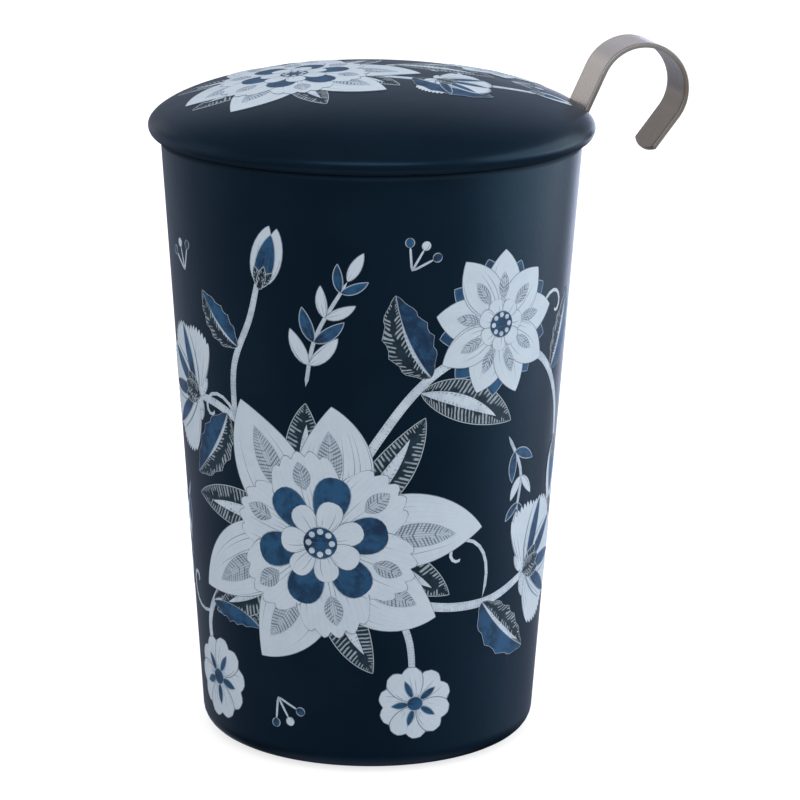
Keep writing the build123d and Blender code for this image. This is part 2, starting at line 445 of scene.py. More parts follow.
class Signal:
    """A node's output, with arithmetic that adds the nodes it stands for."""

    def __init__(self, bench: "Wiring", socket: bpy.types.NodeSocket) -> None:
        """Wrap a socket of the wiring that makes its further nodes."""
        self.bench = bench
        self.socket = socket

    def _math(self, operation: str, *others: object, flip: bool = False) -> "Signal":
        """Add one Math node.

        Args:
            operation: what it works out.
            others: what it takes besides this signal.
            flip: whether this signal comes last.

        Returns:
            The node's output.
        """
        values = [self, *others]
        if flip:
            values.reverse()
        node = self.bench.node("ShaderNodeMath", {"operation": operation}, dict(enumerate(values)))
        return Signal(self.bench, node.outputs[0])

    def __add__(self, other: object) -> "Signal":
        """Sum."""
        return self._math("ADD", other)

    def __sub__(self, other: object) -> "Signal":
        """Difference."""
        return self._math("SUBTRACT", other)

    def __rsub__(self, other: object) -> "Signal":
        """A number less this signal."""
        return self._math("SUBTRACT", other, flip=True)

    def __mul__(self, other: object) -> "Signal":
        """Product."""
        return self._math("MULTIPLY", other)

    def __truediv__(self, other: object) -> "Signal":
        """Quotient."""
        return self._math("DIVIDE", other)

    def __rtruediv__(self, other: object) -> "Signal":
        """A number over this signal."""
        return self._math("DIVIDE", other, flip=True)

    def __pow__(self, other: object) -> "Signal":
        """Power."""
        return self._math("POWER", other)

    def __rpow__(self, other: object) -> "Signal":
        """A number to the power of this signal."""
        return self._math("POWER", other, flip=True)

    __radd__ = __add__
    __rmul__ = __mul__

    def fract(self) -> "Signal":
        """Fractional part."""
        return self._math("FRACT")

    def floor(self) -> "Signal":
        """Whole part."""
        return self._math("FLOOR")

    def absolute(self) -> "Signal":
        """Size without its sign."""
        return self._math("ABSOLUTE")

    def sine(self) -> "Signal":
        """Sine."""
        return self._math("SINE")

    def larger(self, other: object) -> "Signal":
        """The larger of two."""
        return self._math("MAXIMUM", other)

    def smaller(self, other: object) -> "Signal":
        """The smaller of two."""
        return self._math("MINIMUM", other)

    def ramp(self, low: object, high: object) -> "Signal":
        """Step smoothly from 0 to 1.

        Args:
            low: where the step is 0.
            high: where it is 1. It may lie below low.

        Returns:
            The step's share.
        """
        node = self.bench.node(
            "ShaderNodeMapRange",
            {"interpolation_type": "SMOOTHSTEP", "clamp": True},
            {"Value": self, "From Min": low, "From Max": high, "To Min": 0.0, "To Max": 1.0},
        )
        return Signal(self.bench, node.outputs["Result"])


class Wiring:
    """A material's or a world's nodes, made through one method."""

    def __init__(self, tree: bpy.types.NodeTree) -> None:
        """Take over a node tree and empty it."""
        self.tree = tree
        tree.nodes.clear()

    def node(
        self,
        kind: str,
        settings: Optional[dict[str, object]] = None,
        inputs: Optional[dict[object, object]] = None,
    ) -> bpy.types.Node:
        """Add a node.

        Args:
            kind: the node's type.
            settings: its properties, set first.
            inputs: values or signals for its sockets, by name or index.

        Returns:
            The new node.
        """
        made = self.tree.nodes.new(kind)
        for key, value in (settings or {}).items():
            setattr(made, key, value)
        for key, value in (inputs or {}).items():
            socket = made.inputs[key]
            if isinstance(value, Signal):
                self.tree.links.new(value.socket, socket)
            elif isinstance(value, bpy.types.NodeSocket):
                self.tree.links.new(value, socket)
            elif socket.type == "RGBA" and len(value) == 3:
                socket.default_value = (*value, 1.0)
            else:
                socket.default_value = value
        return made

    def signal(self, kind: str, output: str, settings: Optional[dict] = None,
               inputs: Optional[dict] = None) -> Signal:
        """Add a node and wrap one of its outputs."""
        return Signal(self, self.node(kind, settings, inputs).outputs[output])

    def place(self) -> Signal:
        """Object coordinates."""
        return self.signal("ShaderNodeTexCoord", "Object")

    def axes(self, vector: Signal) -> tuple[Signal, Signal, Signal]:
        """The three parts of a vector."""
        split = self.node("ShaderNodeSeparateXYZ", {}, {0: vector})
        return tuple(Signal(self, split.outputs[i]) for i in range(3))

    def along(self, vector: Signal, way: Vector) -> Signal:
        """How far a vector goes one way."""
        inputs = {0: vector, 1: tuple(way)}
        return self.signal("ShaderNodeVectorMath", "Value", {"operation": "DOT_PRODUCT"}, inputs)

    def rays(self) -> tuple[Signal, Signal, Signal]:
        """Tell the kinds of rays apart.

        Returns:
            Whether a ray comes from the camera, from a gloss, and through glass.
        """
        path = self.node("ShaderNodeLightPath")
        kinds = ("Is Camera Ray", "Is Glossy Ray", "Is Transmission Ray")
        return tuple(Signal(self, path.outputs[kind]) for kind in kinds)

    def stretched(self, vector: Signal, scale: tuple[float, float, float]) -> Signal:
        """A vector with its axes scaled."""
        return self.signal("ShaderNodeMapping", "Vector", {}, {"Vector": vector, "Scale": scale})

    def noise(self, vector: Signal, scale: float, detail: float = 2.0, rough: float = 0.5) -> Signal:
        """Noise from 0 to 1 at a scale given per metre or per unit of the vector."""
        inputs = {"Vector": vector, "Scale": scale, "Detail": detail, "Roughness": rough}
        return self.signal("ShaderNodeTexNoise", "Fac", {}, inputs)

    def attribute(self, name: str) -> Signal:
        """A number stored on the mesh."""
        return self.signal("ShaderNodeAttribute", "Fac", {"attribute_name": name})

    def blend(self, share: object, low: object, high: object) -> Signal:
        """Mix two colours."""
        mixer = self.node("ShaderNodeMix", {"data_type": "RGBA"}, {0: share, 6: low, 7: high})
        return Signal(self, mixer.outputs[2])

    def bump(self, height: Signal, strength: float, distance: float) -> Signal:
        """A normal bent by a height."""
        inputs = {"Height": height, "Strength": strength, "Distance": distance}
        return self.signal("ShaderNodeBump", "Normal", {}, inputs)

    def surface(self, **inputs: object) -> None:
        """Finish the material with a Principled surface.

        Args:
            inputs: values or signals for its sockets. Underscores stand for spaces.
        """
        named = {key.replace("_", " "): value for key, value in inputs.items()}
        shader = self.node("ShaderNodeBsdfPrincipled", {}, named)
        self.node("ShaderNodeOutputMaterial", {}, {"Surface": shader.outputs[0]})


class Finish:
    """Base of every surface finish."""

    name: str = "finish"

    def wire(self, wiring: Wiring) -> None:
        """Add the finish's nodes."""
        raise NotImplementedError

    def material(self) -> bpy.types.Material:
        """Make the finish's material, once.

        Returns:
            The material.
        """
        made = bpy.data.materials.get(self.name)
        if made is None:
            made = bpy.data.materials.new(self.name)
            made.use_nodes = True
            self.wire(Wiring(made.node_tree))
        return made

    def dress(self, obj: bpy.types.Object) -> None:
        """Make this the object's only material."""
        obj.data.materials.clear()
        obj.data.materials.append(self.material())


@dataclass(frozen=True)
class NavyGlaze(Finish):
    """Satin navy glaze, duller where lid and rim meet and wiped off the foot ring."""

    name: str = "navy_glaze"
    deep: Colour = (0.0034, 0.0118, 0.0255)
    light: Colour = (0.0048, 0.0150, 0.0310)
    bisque: Colour = (0.62, 0.59, 0.54)
    sheen: Colour = (0.40, 0.75, 1.0)
    roughness: float = 0.33
    rubbed: float = 0.30
    unglazed: float = 0.45
    wiped_mm: tuple[float, float] = (0.16, 0.08)

    def wire(self, wiring: Wiring) -> None:
        """Add the glaze's nodes.

        Args:
            wiring: the material's nodes.
        """
        place = wiring.place()
        x, y, z = wiring.axes(place)
        cloud = wiring.noise(place, 45.0, 3.0)
        glaze = wiring.blend(cloud.ramp(0.35, 0.65), self.deep, self.light)
        radius = (x * x + y * y) ** 0.5
        rim_top = z.ramp((MUG.rim_z - 1.5) * MM, (MUG.rim_z - 0.8) * MM)
        rim_out = radius.ramp((MUG.rim_r - 1.3) * MM, (MUG.rim_r - 0.3) * MM)
        below_lid = z.ramp((MUG.rim_z + 1.3) * MM, (MUG.rim_z + 0.5) * MM)
        dull = rim_top * rim_out * below_lid
        speckle = wiring.noise(place, 1500.0, 2.0)
        bare = z.ramp(self.wiped_mm[0] * MM, self.wiped_mm[1] * MM) * radius.ramp(15 * MM, 16 * MM)
        clay = wiring.blend(speckle.ramp(0.3, 0.75), self.bisque, tuple(c * 0.86 for c in self.bisque))
        patchy = wiring.noise(place, 160.0, 2.0)
        ripple = wiring.noise(place, 900.0, 2.0) + wiring.noise(place, 120.0, 1.0) * 2.0
        wiring.surface(
            Base_Color=wiring.blend(bare, glaze, clay),
            Roughness=(patchy - 0.5) * 0.06 + self.roughness + bare * self.unglazed + dull * self.rubbed,
            IOR=1.5,
            Specular_Tint=(*self.sheen, 1.0),
            Normal=wiring.bump(ripple, 0.05, 0.0004),
        )


@dataclass(frozen=True)
class WhiteGlaze(Finish):
    """Clear gloss glaze on white porcelain, darker and greyer near the cup's floor."""

    name: str = "white_glaze"
    body: Colour = (0.80, 0.81, 0.81)
    floor_tone: Colour = (0.72, 0.745, 0.75)
    floor_band_mm: float = 4.0

    def wire(self, wiring: Wiring) -> None:
        """Add the glaze's nodes.

        Args:
            wiring: the material's nodes.
        """
        place = wiring.place()
        z = wiring.axes(place)[2]
        # darker and greyer within a few millimetres above the liner's floor
        near_floor = z.ramp((MUG.floor_z + self.floor_band_mm) * MM, MUG.floor_z * MM)
        cloud = wiring.noise(place, 60.0, 2.0)
        pin = wiring.noise(place, 700.0, 1.0)
        wiring.surface(
            Base_Color=wiring.blend(near_floor * 0.7 + cloud * 0.2, self.body, self.floor_tone),
            Roughness=cloud * 0.06 + 0.12,
            IOR=1.5,
            Normal=wiring.bump(pin, 0.04, 0.0004),
        )


@dataclass(frozen=True)
class Steel(Finish):
    """Stainless steel with a directional grain.

    The grain runs along the piece's own UV map, or else as its scale on Object coordinates
    has it. For a strip whose mesh marks its inner face and its sheared edges, the edges get
    their own tone, and a painted shade in a darker tone covers the inner face from a given
    height down and the edges from a given distance along x outwards.
    """

    name: str = "basket_steel"
    tone: Colour = (0.76, 0.745, 0.72)
    dark: Colour = (0.66, 0.645, 0.62)
    roughness: float = 0.30
    along_uv: bool = False
    # painted shade: the darker tone, and the ranges where it lies on a strip's inner face and edges
    painted_shade_tone: Colour = (0.0, 0.0, 0.0)
    edge_tone: Colour = (0.0, 0.0, 0.0)
    painted_shade_z_mm: tuple[float, float] = (0.0, 0.0)
    painted_edge_shade_x_mm: tuple[float, float] = (0.0, 0.0)
    face_metal: float = 0.72
    relief: float = 0.035
    inside_metal: float = 1.0
    edge_metal: float = 1.0
    grain: tuple[float, float, float] = (30.0, 30.0, 2600.0)
    broad_share: float = 0.22

    def wire(self, wiring: Wiring) -> None:
        """Add the steel's nodes.

        Args:
            wiring: the material's nodes.
        """
        place = wiring.place()
        source = wiring.signal("ShaderNodeUVMap", "UV") if self.along_uv else place
        fine = wiring.noise(wiring.stretched(source, self.grain), 1.0, 3.0, 0.6)
        wide = tuple(g * self.broad_share for g in self.grain)
        broad = wiring.noise(wiring.stretched(source, wide), 1.0, 2.0)
        smudge = wiring.noise(place, 70.0, 3.0)
        streaks = fine * 0.65 + broad * 0.35
        colour = wiring.blend(streaks.ramp(0.30, 0.72), self.dark, self.tone)
        metal = self.face_metal
        if self.edge_metal < 1.0:
            x, _, z = wiring.axes(place)
            inner = wiring.attribute("inner_face")
            edge = wiring.attribute("sheared_edge")
            # painted shade on the inner face, fading in from a little below the crest downwards
            painted_shade_below_crest = z.ramp(self.painted_shade_z_mm[0] * MM, self.painted_shade_z_mm[1] * MM)
            # painted shade on the sheared edges, fading in towards their outer ends along x
            turned = x.ramp(self.painted_edge_shade_x_mm[0] * MM, self.painted_edge_shade_x_mm[1] * MM)
            colour = wiring.blend(edge, colour, self.edge_tone)
            shade = (inner * painted_shade_below_crest).larger(edge * turned * 0.85)
            # lay the painted shade in its darker tone
            colour = wiring.blend(shade, colour, self.painted_shade_tone)
            less = (edge * (metal - self.edge_metal)).larger(inner * (metal - self.inside_metal))
            metal = self.face_metal - less
        wiring.surface(
            Base_Color=colour,
            Metallic=metal,
            Roughness=(streaks - 0.5) * 0.22 + (smudge - 0.5) * 0.10 + self.roughness,
            Normal=wiring.bump(streaks, self.relief, 0.00008),
        )


@dataclass(frozen=True)
class Silicone(Finish):
    """Matt translucent silicone."""

    name: str = "clear_silicone"
    tone: Colour = (0.62, 0.63, 0.62)

    def wire(self, wiring: Wiring) -> None:
        """Add the silicone's nodes.

        Args:
            wiring: the material's nodes.
        """
        dust = wiring.noise(wiring.place(), 900.0, 3.0)
        dusty = tuple(c * 0.9 for c in self.tone)
        wiring.surface(
            Base_Color=wiring.blend(dust.ramp(0.4, 0.7), self.tone, dusty),
            Roughness=dust * 0.2 + 0.45,
            Subsurface_Weight=0.15,
            Subsurface_Radius=(0.002, 0.002, 0.002),
            Normal=wiring.bump(dust, 0.08, 0.0002),
        )


@dataclass(frozen=True)
class Print(Finish):
    """Enamel print: a mottled colour with engraved strokes, an outline and a border.

    Rays run along each shape from its root and ribs run in from its sides, both on its own UV
    map. The mesh carries the distance to the shape's edge, its width and its length, in
    millimetres, and a number of its own from 0 to 1.
    """

    name: str = "print_white"
    tone: Colour = (0.68, 0.782, 0.888)
    wash: Colour = (0.53, 0.645, 0.785)
    wash_share: float = 0.36
    line: Colour = (0.035, 0.065, 0.12)
    border: Colour = (0.68, 0.77, 0.86)
    border_width: float = 0.0
    ray_pitch: float = 1.15
    ray_share: float = 0.13
    ray_reach: float = 0.50
    ray_strength: float = 0.62
    rib_pitch: float = 0.0
    rib_share: float = 0.24
    rib_depth: float = 0.5
    rib_strength: float = 0.9
    rib_slant: float = 1.6
    outline: float = 0.13
    roughness: float = 0.42

    @staticmethod
    def chance(index: Signal, own: Signal) -> Signal:
        """A number from 0 to 1 for each whole index of each shape."""
        return ((index * HASH[0] + own * HASH[1]).sine() * 43.5453).fract()

    def rays(self, u: Signal, v: Signal, span: Signal, own: Signal, cloud: Signal) -> Signal:
        """Draw strokes along the shape, each as long as chance has it and thinner to its end.

        Args:
            u, v: places along and across the shape, from 0 to 1.
            span: the shape's width in millimetres.
            own: the shape's own number.
            cloud: noise that makes the strokes waver.

        Returns:
            The strokes' strength.
        """
        ray = v * ((span / self.ray_pitch).floor() + 1.0) + (cloud - 0.5) * 0.35
        reach = self.chance(ray.floor(), own) * 0.55 + (self.ray_reach - 0.3)
        width = (1.0 - u / reach).larger(0.0) ** 0.5 * self.ray_share
        return ((ray.fract() - 0.5).absolute() - width).ramp(0.035, -0.035) * self.ray_strength

    def ribs(self, u: Signal, middle: Signal, length: Signal, own: Signal, cloud: Signal) -> Signal:
        """Draw strokes from the shape's sides inwards, slanted towards its tip.

        Args:
            u: place along the shape, from 0 to 1.
            middle: distance from its middle line, from 0 to 1 at a side.
            length: the shape's length in millimetres.
            own: the shape's own number.
            cloud: noise that makes the strokes waver.

        Returns:
            The strokes' strength.
        """
        rib = u * ((length / self.rib_pitch).floor() + 1.0) - middle * self.rib_slant
        rib = rib + (cloud - 0.5) * 1.1
        start = self.chance(rib.floor(), own) * 0.5 + (0.8 - self.rib_depth)
        inward = (middle - start).ramp(-0.02, 0.14)
        width = self.chance(rib.floor() + 5.0, own) * self.rib_share * 0.8 + self.rib_share * 0.6
        return ((rib.fract() - 0.5).absolute() - width).ramp(0.07, -0.07) * inward * self.rib_strength

    def wire(self, wiring: Wiring) -> None:
        """Add the print's nodes.

        Args:
            wiring: the material's nodes.
        """
        place = wiring.place()
        u, v, _ = wiring.axes(wiring.signal("ShaderNodeUVMap", "UV"))
        edge = wiring.attribute("edge_mm")
        own = wiring.attribute("own")
        cloud = wiring.noise(place, 190.0, 3.0, 0.6)
        grain = wiring.noise(place, 1400.0, 2.0)
        middle = (v - 0.5).absolute() * 2.0
        mottle = wiring.noise(place, 520.0, 4.0, 0.65) * 0.5 + cloud * 0.5
        wash = mottle.ramp(0.42, 0.60) * 0.7 + u.ramp(0.5, 0.0) * 0.50 + own * 0.25
        colour = wiring.blend((wash * self.wash_share).smaller(1.0), self.tone, self.wash)
        worn = grain.ramp(0.25, 0.5) * 0.4 + 0.6
        inside = edge.ramp(self.border_width + 0.05, self.border_width + 0.2)
        strokes = []
        if self.ray_strength:
            strokes.append(self.rays(u, v, wiring.attribute("span_mm"), own, cloud))
        if self.rib_pitch:
            strokes.append(self.ribs(u, middle, wiring.attribute("length_mm"), own, cloud))
        for stroke in strokes:
            colour = wiring.blend(stroke * inside * worn, colour, self.line)
        if self.border_width:
            rim = edge.ramp(self.border_width + 0.08, self.border_width - 0.04)
            colour = wiring.blend(rim, colour, self.border)
        if self.outline:
            rim = edge.ramp(self.outline + 0.08, self.outline - 0.08) * 0.75
            colour = wiring.blend(rim, colour, self.line)
        wiring.surface(
            Base_Color=colour,
            Roughness=(grain - 0.5) * 0.08 + self.roughness,
            IOR=1.5,
            Normal=wiring.bump(grain, 0.05, 0.0001),
        )


NAVY = NavyGlaze()
WHITE = WhiteGlaze()
BASKET_STEEL = Steel()
STRIP_STEEL = Steel(
    name="strip_steel",
    tone=(0.92, 0.815, 0.735),
    dark=(0.73, 0.65, 0.59),
    roughness=0.25,
    relief=0.12,
    along_uv=True,
    # painted shade: a dark tone laid by place on the inner face below the crest and on the outer ends of
    # the edges
    painted_shade_tone=(0.298, 0.243, 0.200),
    edge_tone=(0.50, 0.475, 0.44),
    painted_shade_z_mm=(STRIP.crest_z - 2.5, STRIP.crest_z - 9.5),
    # painted shade on the edges from 58 to 63 mm out along x
    painted_edge_shade_x_mm=(58.0, 63.0),
    face_metal=0.70,
    inside_metal=0.50,
    edge_metal=0.45,
    grain=(7.0, 190.0, 1.0),
)
WELD_STEEL = Steel(
    name="weld_steel",
    tone=(0.56, 0.54, 0.51),
    dark=(0.44, 0.42, 0.395),
    roughness=0.42,
    grain=(500.0, 500.0, 500.0),
)
SILICONE = Silicone()


class Ink(Enum):
    """The print's inks, and the ways in which they are worked."""

    WHITE = Print()
    BLUE = Print(
        name="print_blue",
        tone=(0.0180, 0.112, 0.255),
        wash=(0.0060, 0.032, 0.085),
        wash_share=1.0,
        line=(0.16, 0.25, 0.38),
        border=(0.40, 0.48, 0.58),
        border_width=0.16,
        ray_pitch=1.0,
        ray_share=0.07,
        ray_strength=0.45,
        outline=0.0,
    )
    HATCHED = Print(
        name="print_hatched",
        tone=(0.55, 0.65, 0.76),
        wash=(0.37, 0.47, 0.60),
        line=(0.030, 0.055, 0.105),
        ray_pitch=0.55,
        ray_share=0.16,
        ray_reach=0.9,
        ray_strength=0.55,
        rib_pitch=0.50,
        rib_share=0.17,
        rib_depth=0.95,
        rib_strength=0.75,
        outline=0.0,
    )
    ENGRAVED = Print(
        name="print_engraved",
        tone=(0.016, 0.046, 0.075),
        wash=(0.008, 0.022, 0.036),
        wash_share=1.0,
        line=(0.42, 0.50, 0.57),
        border=(0.50, 0.58, 0.66),
        border_width=0.14,
        ray_strength=0.0,
        rib_pitch=0.56,
        rib_share=0.20,
        rib_depth=0.72,
        outline=0.0,
    )
    STEM = Print(
        name="print_stem",
        wash=(0.40, 0.50, 0.63),
        wash_share=0.7,
        ray_strength=0.0,
        rib_pitch=0.60,
        rib_share=0.15,
        rib_depth=0.55,
        rib_strength=0.5,
        rib_slant=0.6,
        outline=0.0,
    )


# ------------------------------------------------------------------ printed shapes


class Host:
    """A surface that takes the print: it lifts flat millimetre coordinates onto itself."""

    def lift(self, x: float, y: float, height: float) -> Vector:
        """Lift a flat point, in millimetres, to a height above the surface."""
        raise NotImplementedError


@dataclass(frozen=True)
class MugSide(Host):
    """The mug's tapered side. x runs round it from the middle of the front, y up it."""

    front_deg: float = VIEW_DEG - 90

    def lift(self, x: float, y: float, height: float) -> Vector:
        """Lift a flat point onto the side.

        Args:
            x, y: the flat point, in millimetres.
            height: its height above the surface.

        Returns:
            Its place in metres.
        """
        taper = math.radians(MUG.taper_deg)
        radius = MUG.body_r(y)
        angle = math.radians(self.front_deg) + x / radius
        reach = radius + height * math.cos(taper)
        return Vector(
            (reach * math.cos(angle), reach * math.sin(angle), y - height * math.sin(taper))
        ) * MM


@dataclass(frozen=True)
class LidTop(Host):
    """The lid's dome. x runs to the right and y away, seen from the front."""

    turn_deg: float = VIEW_DEG
    step: float = 0.01

    def lift(self, x: float, y: float, height: float) -> Vector:
        """Lift a flat point onto the dome.

        Args:
            x, y: the flat point, in millimetres.
            height: its height above the surface.

        Returns:
            Its place in metres.
        """
        radius = max(math.hypot(x, y), TINY)
        dome_z = LID.dome_z(radius, MUG.rim_z)
        slope = (LID.dome_z(radius + self.step, MUG.rim_z) - dome_z) / self.step
        tilt = math.atan(-slope)
        flat = Vector((x, y)) / radius * (radius + height * math.sin(tilt))
        z = dome_z + height * math.cos(tilt)
        turned = Matrix.Rotation(math.radians(self.turn_deg), 2) @ flat
        return Vector((turned.x, turned.y, z)) * MM


@dataclass(frozen=True)
class Outline:
    """Family of petal and leaf outlines.

    Half the width grows as t^base and falls as (1 - t)^tip along the shape, and teeth notch
    it. A crown above 0 shortens the sides of a broad tip to that share, a dent draws its
    middle back, and scallops wave it. One side alone makes half a leaf.
    """

    base: float
    tip: float = 0.0
    crown: float = 0.0
    dent: float = 0.0
    scallops: int = 0
    scallop_depth: float = 0.0
    teeth: int = 0
    tooth_depth: float = 0.0
    side: int = 0

    def half_width(self, t: float) -> float:
        """Half the width along the shape.

        Args:
            t: share of the length.

        Returns:
            The half width, at most 1.
        """
        if self.tip == 0:
            return (1 - (1 - t) ** 2) ** self.base
        peak = self.base / (self.base + self.tip)
        top = peak**self.base * (1 - peak) ** self.tip
        tooth = 1 - abs((t * self.teeth) % 1 - 0.5) * 2 if self.teeth else 0
        return (1 - self.tooth_depth * tooth) * t**self.base * (1 - t) ** self.tip / top

    def reach(self, s: float) -> float:
        """How far a line along the shape reaches.

        Args:
            s: the line's place, from the middle at 0 to a side at 1 or -1.

        Returns:
            The share of the length.
        """
        round_off = 1.0
        if self.crown:
            round_off = self.crown + (1 - self.crown) * math.sqrt(max(0.0, 1 - s * s))
        notch = self.dent * math.exp(-((s / 0.22) ** 2))
        wave = self.scallop_depth * (1 - abs(math.cos(math.pi * self.scallops * s / 2)))
        return round_off - notch - wave


class Form(Enum):
    """Outlines used in the print."""

    LOBED = Outline(base=0.52, crown=0.62, scallops=5, scallop_depth=0.085)
    FRILLED = Outline(base=0.60, crown=0.74, scallops=9, scallop_depth=0.075)
    HEART = Outline(base=0.62, crown=0.70, dent=0.13)
    FLAME = Outline(base=0.78, tip=0.92)
    CUP = Outline(base=0.50, tip=0.75)
    SPEAR = Outline(base=0.85, tip=0.95)
    OGEE = Outline(base=0.72, tip=0.42)
    DISC = Outline(base=0.5, tip=0.5)
    LEAF = Outline(base=0.70, tip=0.85)
    LEAF_LEFT = Outline(base=0.70, tip=0.85, side=1, teeth=5, tooth_depth=0.20)
    LEAF_RIGHT = Outline(base=0.70, tip=0.85, side=-1, teeth=5, tooth_depth=0.20)
    STEM = Outline(base=0.04, tip=0.10)


@dataclass(frozen=True)
class Shape:
    """One printed shape, in flat millimetres and degrees."""

    form: Form
    ink: Ink
    at: Point
    heading: float
    length: float
    width: float
    bend: float = 0.0
    level: int = 0
    path: tuple[Point, ...] = ()

    def cells(self) -> tuple[int, int]:
        """Choose a mesh fine enough to follow the outline and a curved surface.

        Returns:
            The numbers of faces along and across.
        """
        if self.path:
            return max(6, int(self.length / 1.5)), 2
        along = min(30, max(10, round(self.length / 0.9)))
        across = min(16, max(4, round(self.width / 1.2)))
        if self.form.value.crown:
            across = max(across, 4 * self.form.value.scallops, 10)
        if self.form.value.teeth:
            along = max(along, 5 * self.form.value.teeth)
        return along, across + across % 2

    def spine(self, t: float) -> tuple[Vector, Vector]:
        """Follow the middle line.

        Args:
            t: share of the length.

        Returns:
            The point there and the line's direction.
        """
        if self.path:
            return spline_point(self.path, t)
        angle = math.radians(self.heading)
        bend = math.radians(self.bend)
        if abs(bend) < 1e-4:
            run = Vector((self.length * t, 0))
        else:
            radius = self.length / bend
            run = Vector((radius * math.sin(bend * t), radius * (1 - math.cos(bend * t))))
        direction = Vector((math.cos(angle + bend * t), math.sin(angle + bend * t)))
        return Vector(self.at) + Matrix.Rotation(angle, 2) @ run, direction

    def point(self, t: float, s: float) -> tuple[Vector, float]:
        """Find a point of the shape.

        Args:
            t: share along it.
            s: place across it, from -1 to 1.

        Returns:
            The flat point and its distance to the edge.
        """
        outline = self.form.value
        reach = outline.reach(s)
        half = self.width / 2 * outline.half_width(t)
        across = s * half if outline.side == 0 else (s + 1) / 2 * half * outline.side
        middle, direction = self.spine(t * reach)
        side = Vector((-direction.y, direction.x))
        to_side = (1 - abs(s)) * half
        to_tip = (1 - t) * reach * self.length
        edge = min(to_side, to_tip) if outline.crown else to_side
        return middle + side * across, edge


def spline_point(path: Sequence[Point], t: float) -> tuple[Vector, Vector]:
    """Follow a smooth curve through points.

    Args:
        path: the points.
        t: share of the curve.

    Returns:
        The point there and the curve's direction.
    """
    spans = len(path) - 1
    place = min(t * spans, spans - TINY)
    i = int(place)
    f = place - i
    points = [Vector(p) for p in path]
    before = points[i - 1] if i > 0 else points[0] * 2 - points[1]
    after = points[i + 2] if i + 2 <= spans else points[-1] * 2 - points[-2]
    p0, p1, p2, p3 = before, points[i], points[i + 1], after
    a = (p2 - p0) / 2
    b = p0 - p1 * 2.5 + p2 * 2 - p3 / 2
    c = (p3 - p0) / 2 + (p1 - p2) * 1.5
    here = p1 + a * f + b * f * f + c * f**3
    return here, (a + b * 2 * f + c * 3 * f * f).normalized()


